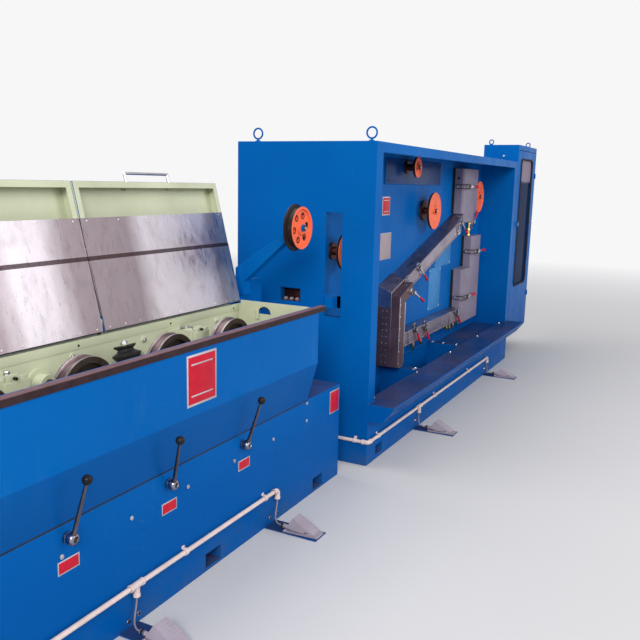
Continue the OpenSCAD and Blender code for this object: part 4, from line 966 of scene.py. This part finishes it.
# Slanted channel: lips, joint flanges with their bolts
CH_A, CH_B = Vector((2250, 0, 868)), Vector((3772, 0, 1325))
d = CH_B - CH_A
slant = Matrix.Translation((CH_A.x, BOX_FRONT, CH_A.z)) @ Matrix.Rotation(-math.atan2(d.z, d.x), 4, "Y")
p = Piece("channel_trim", "frame", ["channel", "zinc"], "stainless")
p.box((330, -5, 40), (d.length - 40, 1, 52.5), 0, 1, slant)
p.box((330, -4, -52.5), (d.length - 40, 1, -44), 0, 1, slant)
for s in (257, 322, 1459, 1511):
    p.box((s - 5, -6, -56), (s + 5, 20, 58), 0, 1.5, slant)
for s in (289, 1485):
    for z in (-40, -14, 14, 40):
        for side in (-12, 12):
            p.hexagon(slant @ Vector((s + side, -6, z)), FRONT, 13, 7, 1, turn=z + side)
p.box((2366, -445, 588), (3850, -439, 600), 0, 1)
p.box((2366, -445, 495), (3850, -439, 503), 0, 1)
for x in (2430, 2600, 2740, 2960, 3560, 3790):
    p.box((x - 6, -447, 488), (x + 6, -420, 607), 0, 1.5)
    for z in (512, 548, 586):
        p.hexagon((x + 12, BOX_FRONT, z), FRONT, 11, 6, 1, turn=z)
p.done()

# Brass fittings
p = Piece("brass_fittings", "frame", ["brass", "zinc"], "bright_steel")
p.rod((4132, -392, 1211), (4132, -392, 1341), 14, 0)
for z in (1214, 1262, 1318):
    p.hexagon((4132, -392, z), UP, 36, 16, 0, turn=0.2)
for x, drop in ((2770, 62), (2935, 46), (3563, 40), (3640, 52), (3740, 44)):
    p.hexagon((x, -418, 495), DOWN, 26, 12, 0, turn=x)
    p.lathe((x, -418, 484), DOWN, [(0, 0), (9, 0), (9, 12), (11.5, 13), (11.5, drop - 8), (8, drop - 2),
                                   (0, drop)], 0, 24)
    p.rod((x + 6, -418, 470), (x + 26, -418, 464), 5, 1, 16)
p.done()

# Rollers in the cabinet's end opening, bolts along the sump
p = Piece("end_rollers", "frame", ["sheath", "brown_iron"], "bright_steel")
p.box((1414, -188.5, 945.5), (1470, -52.5, 951), 1, 0.5)
p.box((1462, -188.5, 945.5), (1471, -52.5, 1022.5), 1, 0.5)
for y in (-84, -123, -162):
    p.lathe((1428, y, 950), UP, [(0, 0), (12, 0), (13, 2), (13, 9), (10, 15), (0, 18)], 0, 24)
p.done()
p = Piece("sump_bolts", "frame", ["zinc"], "bright_steel")
for x in (2362, 2402, 3322, 3346):
    for y in (-580, -470, -380):
        p.hexagon((x, y, SILL_Z), UP, 13, 6, turn=x + y)
for k in range(5):
    p.hexagon((1560 + 740 * k, -628, SILL_Z), UP, 13, 6, turn=k)
p.done()

# Wheel hubs and their cap screws
for name, (x, z, _, _, front) in PULLEYS.items():
    p = Piece(name + "_hub", name, ["black", "zinc"], "dark_steel")
    cx, y, cz = x * 1000, front * 1000, z * 1000
    if name == "arm_pulley":
        # Black rings round the mouths of the web's six holes, painted shade that makes the dark of the holes
        # reach wider
        for k in range(6):
            a = math.radians(60 * k + 20)
            p.lathe((cx + 66 * math.sin(a), y + 12.2, cz + 66 * math.cos(a)), FRONT,
                    [(12, 0), (18.5, 0), (18, 1), (12, 1)], 0, 28, hollow=True)
    else:
        p.lathe((cx, y - 3.8, cz), FRONT, [(12.2, 0), (18, 0), (18.5, 1), (18, 3), (12.2, 3)], 0, 36,
                hollow=True)
        ring = 34 if name == "top_pulley" else 40
        for k in range(3):
            a = math.radians(120 * k + 80)
            p.hexagon((cx + ring * math.cos(a), y + 4.2, cz + ring * math.sin(a)), FRONT, 9, 4, socket=True)
    p.done()
p = Piece("spindle_caps", "frame", ["black", "zinc"], "dark_steel")
for name, (x, z, *_) in PULLEYS.items():
    y = {"far_pulley": -422, "arm_pulley": -454}.get(name, -452)
    p.hexagon((x * 1000, y, z * 1000), FRONT, 16, 7, 1, socket=True)
x, z = (v * 1000 for v in PULLEYS["arm_pulley"][:2])
p.lathe((x, -444, z), FRONT, [(12.1, 0), (14, 0), (14, 11), (12, 12.5), (0, 12.5)], 0, 32)
p.done()

# Lifting eyes, whose rings face the line's ends
p = Piece("lifting_eyes", "frame", ["blue"], "blue_paint")
EYES = [(x, y, ROOF_Z, 51, 31) for x in (1514, 4433) for y in (-577, 180)]
EYES += [(x, y, TOWER_Z, 31, 20) for x, y in ((4833, -365), (5395, -589))]
for x, y, z, lift, r in EYES:
    p.lathe((x, y, z), UP, [(0, 0), (17, 0), (17, 8), (15, 10), (8, 11), (7, lift - r), (0, lift - r)], 0, 28)
    p.tube([(x, y + r * math.sin(a), z + lift + r * math.cos(a)) for a in turns(36)], 5.2, closed=True)
p.done(replaces=["eye_bolts"])

# Tower: window gasket, latches, a screw in its side
p = Piece("window_gasket", "tower_door", ["rubber"], "edge_rubber")
p.tube([(x, -659, z) for x, z in round_rect(5095, 1305, 466, 1217, 53)], 9, closed=True)
p.done()
p = Piece("door_latches", "tower_door", ["chrome"], "bright_steel")
for x in (4820, 5416):
    p.lathe((x, SUMP_FRONT, 1300), FRONT, [(0, 0), (15, 0), (15, 3), (11, 5), (7, 7), (7, 14), (0, 14)],
            0, 28)
    p.box((x - 6, -676, 1284), (x + 6, -668, 1316), 0, 3)
p.done()
p = Piece("tower_screw", "frame", ["zinc"], "bright_steel")
p.button((4733, -517, 1937), LEFT, 11, 9, 4, 6, 0, 20)
p.done()

# Stage
BACKGROUND, FLOOR = (0.93, 0.93, 0.94), (0.62, 0.61, 0.61)
SKY, SKY_STRENGTH = (0.80, 0.83, 0.88, 1.0), 0.55
FADE_START, FADE_END = 4.5, 13.0


def seen_rays(tree):
    """1 on the rays that show the background: camera, glossy and transmission."""
    path = tree.nodes.new("ShaderNodeLightPath")
    seen = path.outputs["Is Camera Ray"]
    for ray in ("Is Glossy Ray", "Is Transmission Ray"):
        either = tree.nodes.new("ShaderNodeMath")
        either.operation = "MAXIMUM"
        tree.links.new(seen, either.inputs[0])
        tree.links.new(path.outputs[ray], either.inputs[1])
        seen = either.outputs[0]
    return seen


def stage_material(name, colour):
    """A pale floor that fades into the background far from the object."""
    s = Shader(name, rough=0.75)
    s.put("Base Color", s.mix(s.span(s.noise(0.6, 3), 0.3, 0.7), colour, tuple(v * 0.97 for v in colour)))
    r = s.calc("SQRT", s.plus(s.calc("POWER", s.x, 2.0), s.calc("POWER", s.y, 2.0)))
    far = s.times(s.span(r, FADE_START, FADE_END), seen_rays(s.tree))
    glow = s.tree.nodes.new("ShaderNodeEmission")
    glow.inputs["Color"].default_value = (*BACKGROUND, 1.0)
    mix = s.tree.nodes.new("ShaderNodeMixShader")
    s.tree.links.new(far, mix.inputs[0])
    s.tree.links.new(s.bsdf.outputs[0], mix.inputs[1])
    s.tree.links.new(glow.outputs[0], mix.inputs[2])
    out = next(n for n in s.tree.nodes if n.type == "OUTPUT_MATERIAL")
    s.tree.links.new(mix.outputs[0], out.inputs[0])
    return s.mat


floor_mesh = bpy.data.meshes.new("floor")
bm = bmesh.new()
bmesh.ops.create_grid(bm, x_segments=1, y_segments=1, size=40)
bm.to_mesh(floor_mesh)
bm.free()
floor_mesh.materials.append(stage_material("pale_floor", FLOOR))
floor = bpy.data.objects.new("floor", floor_mesh)
floor.location = (2.0, 0.0, -0.0005)
bpy.context.scene.collection.objects.link(floor)

world = bpy.data.worlds.new("world")
bpy.context.scene.world = world
world.use_nodes = True
wt = world.node_tree
wt.nodes.clear()
w_out = wt.nodes.new("ShaderNodeOutputWorld")
w_bg = wt.nodes.new("ShaderNodeBackground")
w_bg.inputs["Color"].default_value = SKY
w_bg.inputs["Strength"].default_value = SKY_STRENGTH
w_seen = wt.nodes.new("ShaderNodeBackground")
w_seen.inputs["Color"].default_value = (*BACKGROUND, 1.0)
w_mix = wt.nodes.new("ShaderNodeMixShader")
wt.links.new(seen_rays(wt), w_mix.inputs[0])
wt.links.new(w_bg.outputs[0], w_mix.inputs[1])
wt.links.new(w_seen.outputs[0], w_mix.inputs[2])
wt.links.new(w_mix.outputs[0], w_out.inputs[0])


def lamp(name, place, target, size, power, colour=(1, 1, 1)):
    data = bpy.data.lights.new(name, "AREA")
    data.shape = "RECTANGLE"
    data.size, data.size_y = size
    data.energy = power
    data.color = colour
    obj = bpy.data.objects.new(name, data)
    obj.location = place
    obj.rotation_euler = (Vector(target) - Vector(place)).to_track_quat("-Z", "Y").to_euler()
    bpy.context.scene.collection.objects.link(obj)


lamp("key", (-8.0, -5.0, 6.0), (1.0, 0.0, 0.8), (5.0, 4.0), 830, (1.0, 0.98, 0.96))
lamp("front", (3.0, -9.0, 4.6), (3.0, -0.4, 1.0), (5.0, 3.5), 315, (0.97, 0.98, 1.0))
lamp("top", (1.5, 2.0, 7.5), (1.5, 0.0, 0.0), (8.0, 4.0), 260)
lamp("back", (0.0, 7.0, 4.5), (2.0, 0.3, 1.0), (7.0, 3.0), 220)

bpy.context.scene.view_settings.view_transform = "Standard"
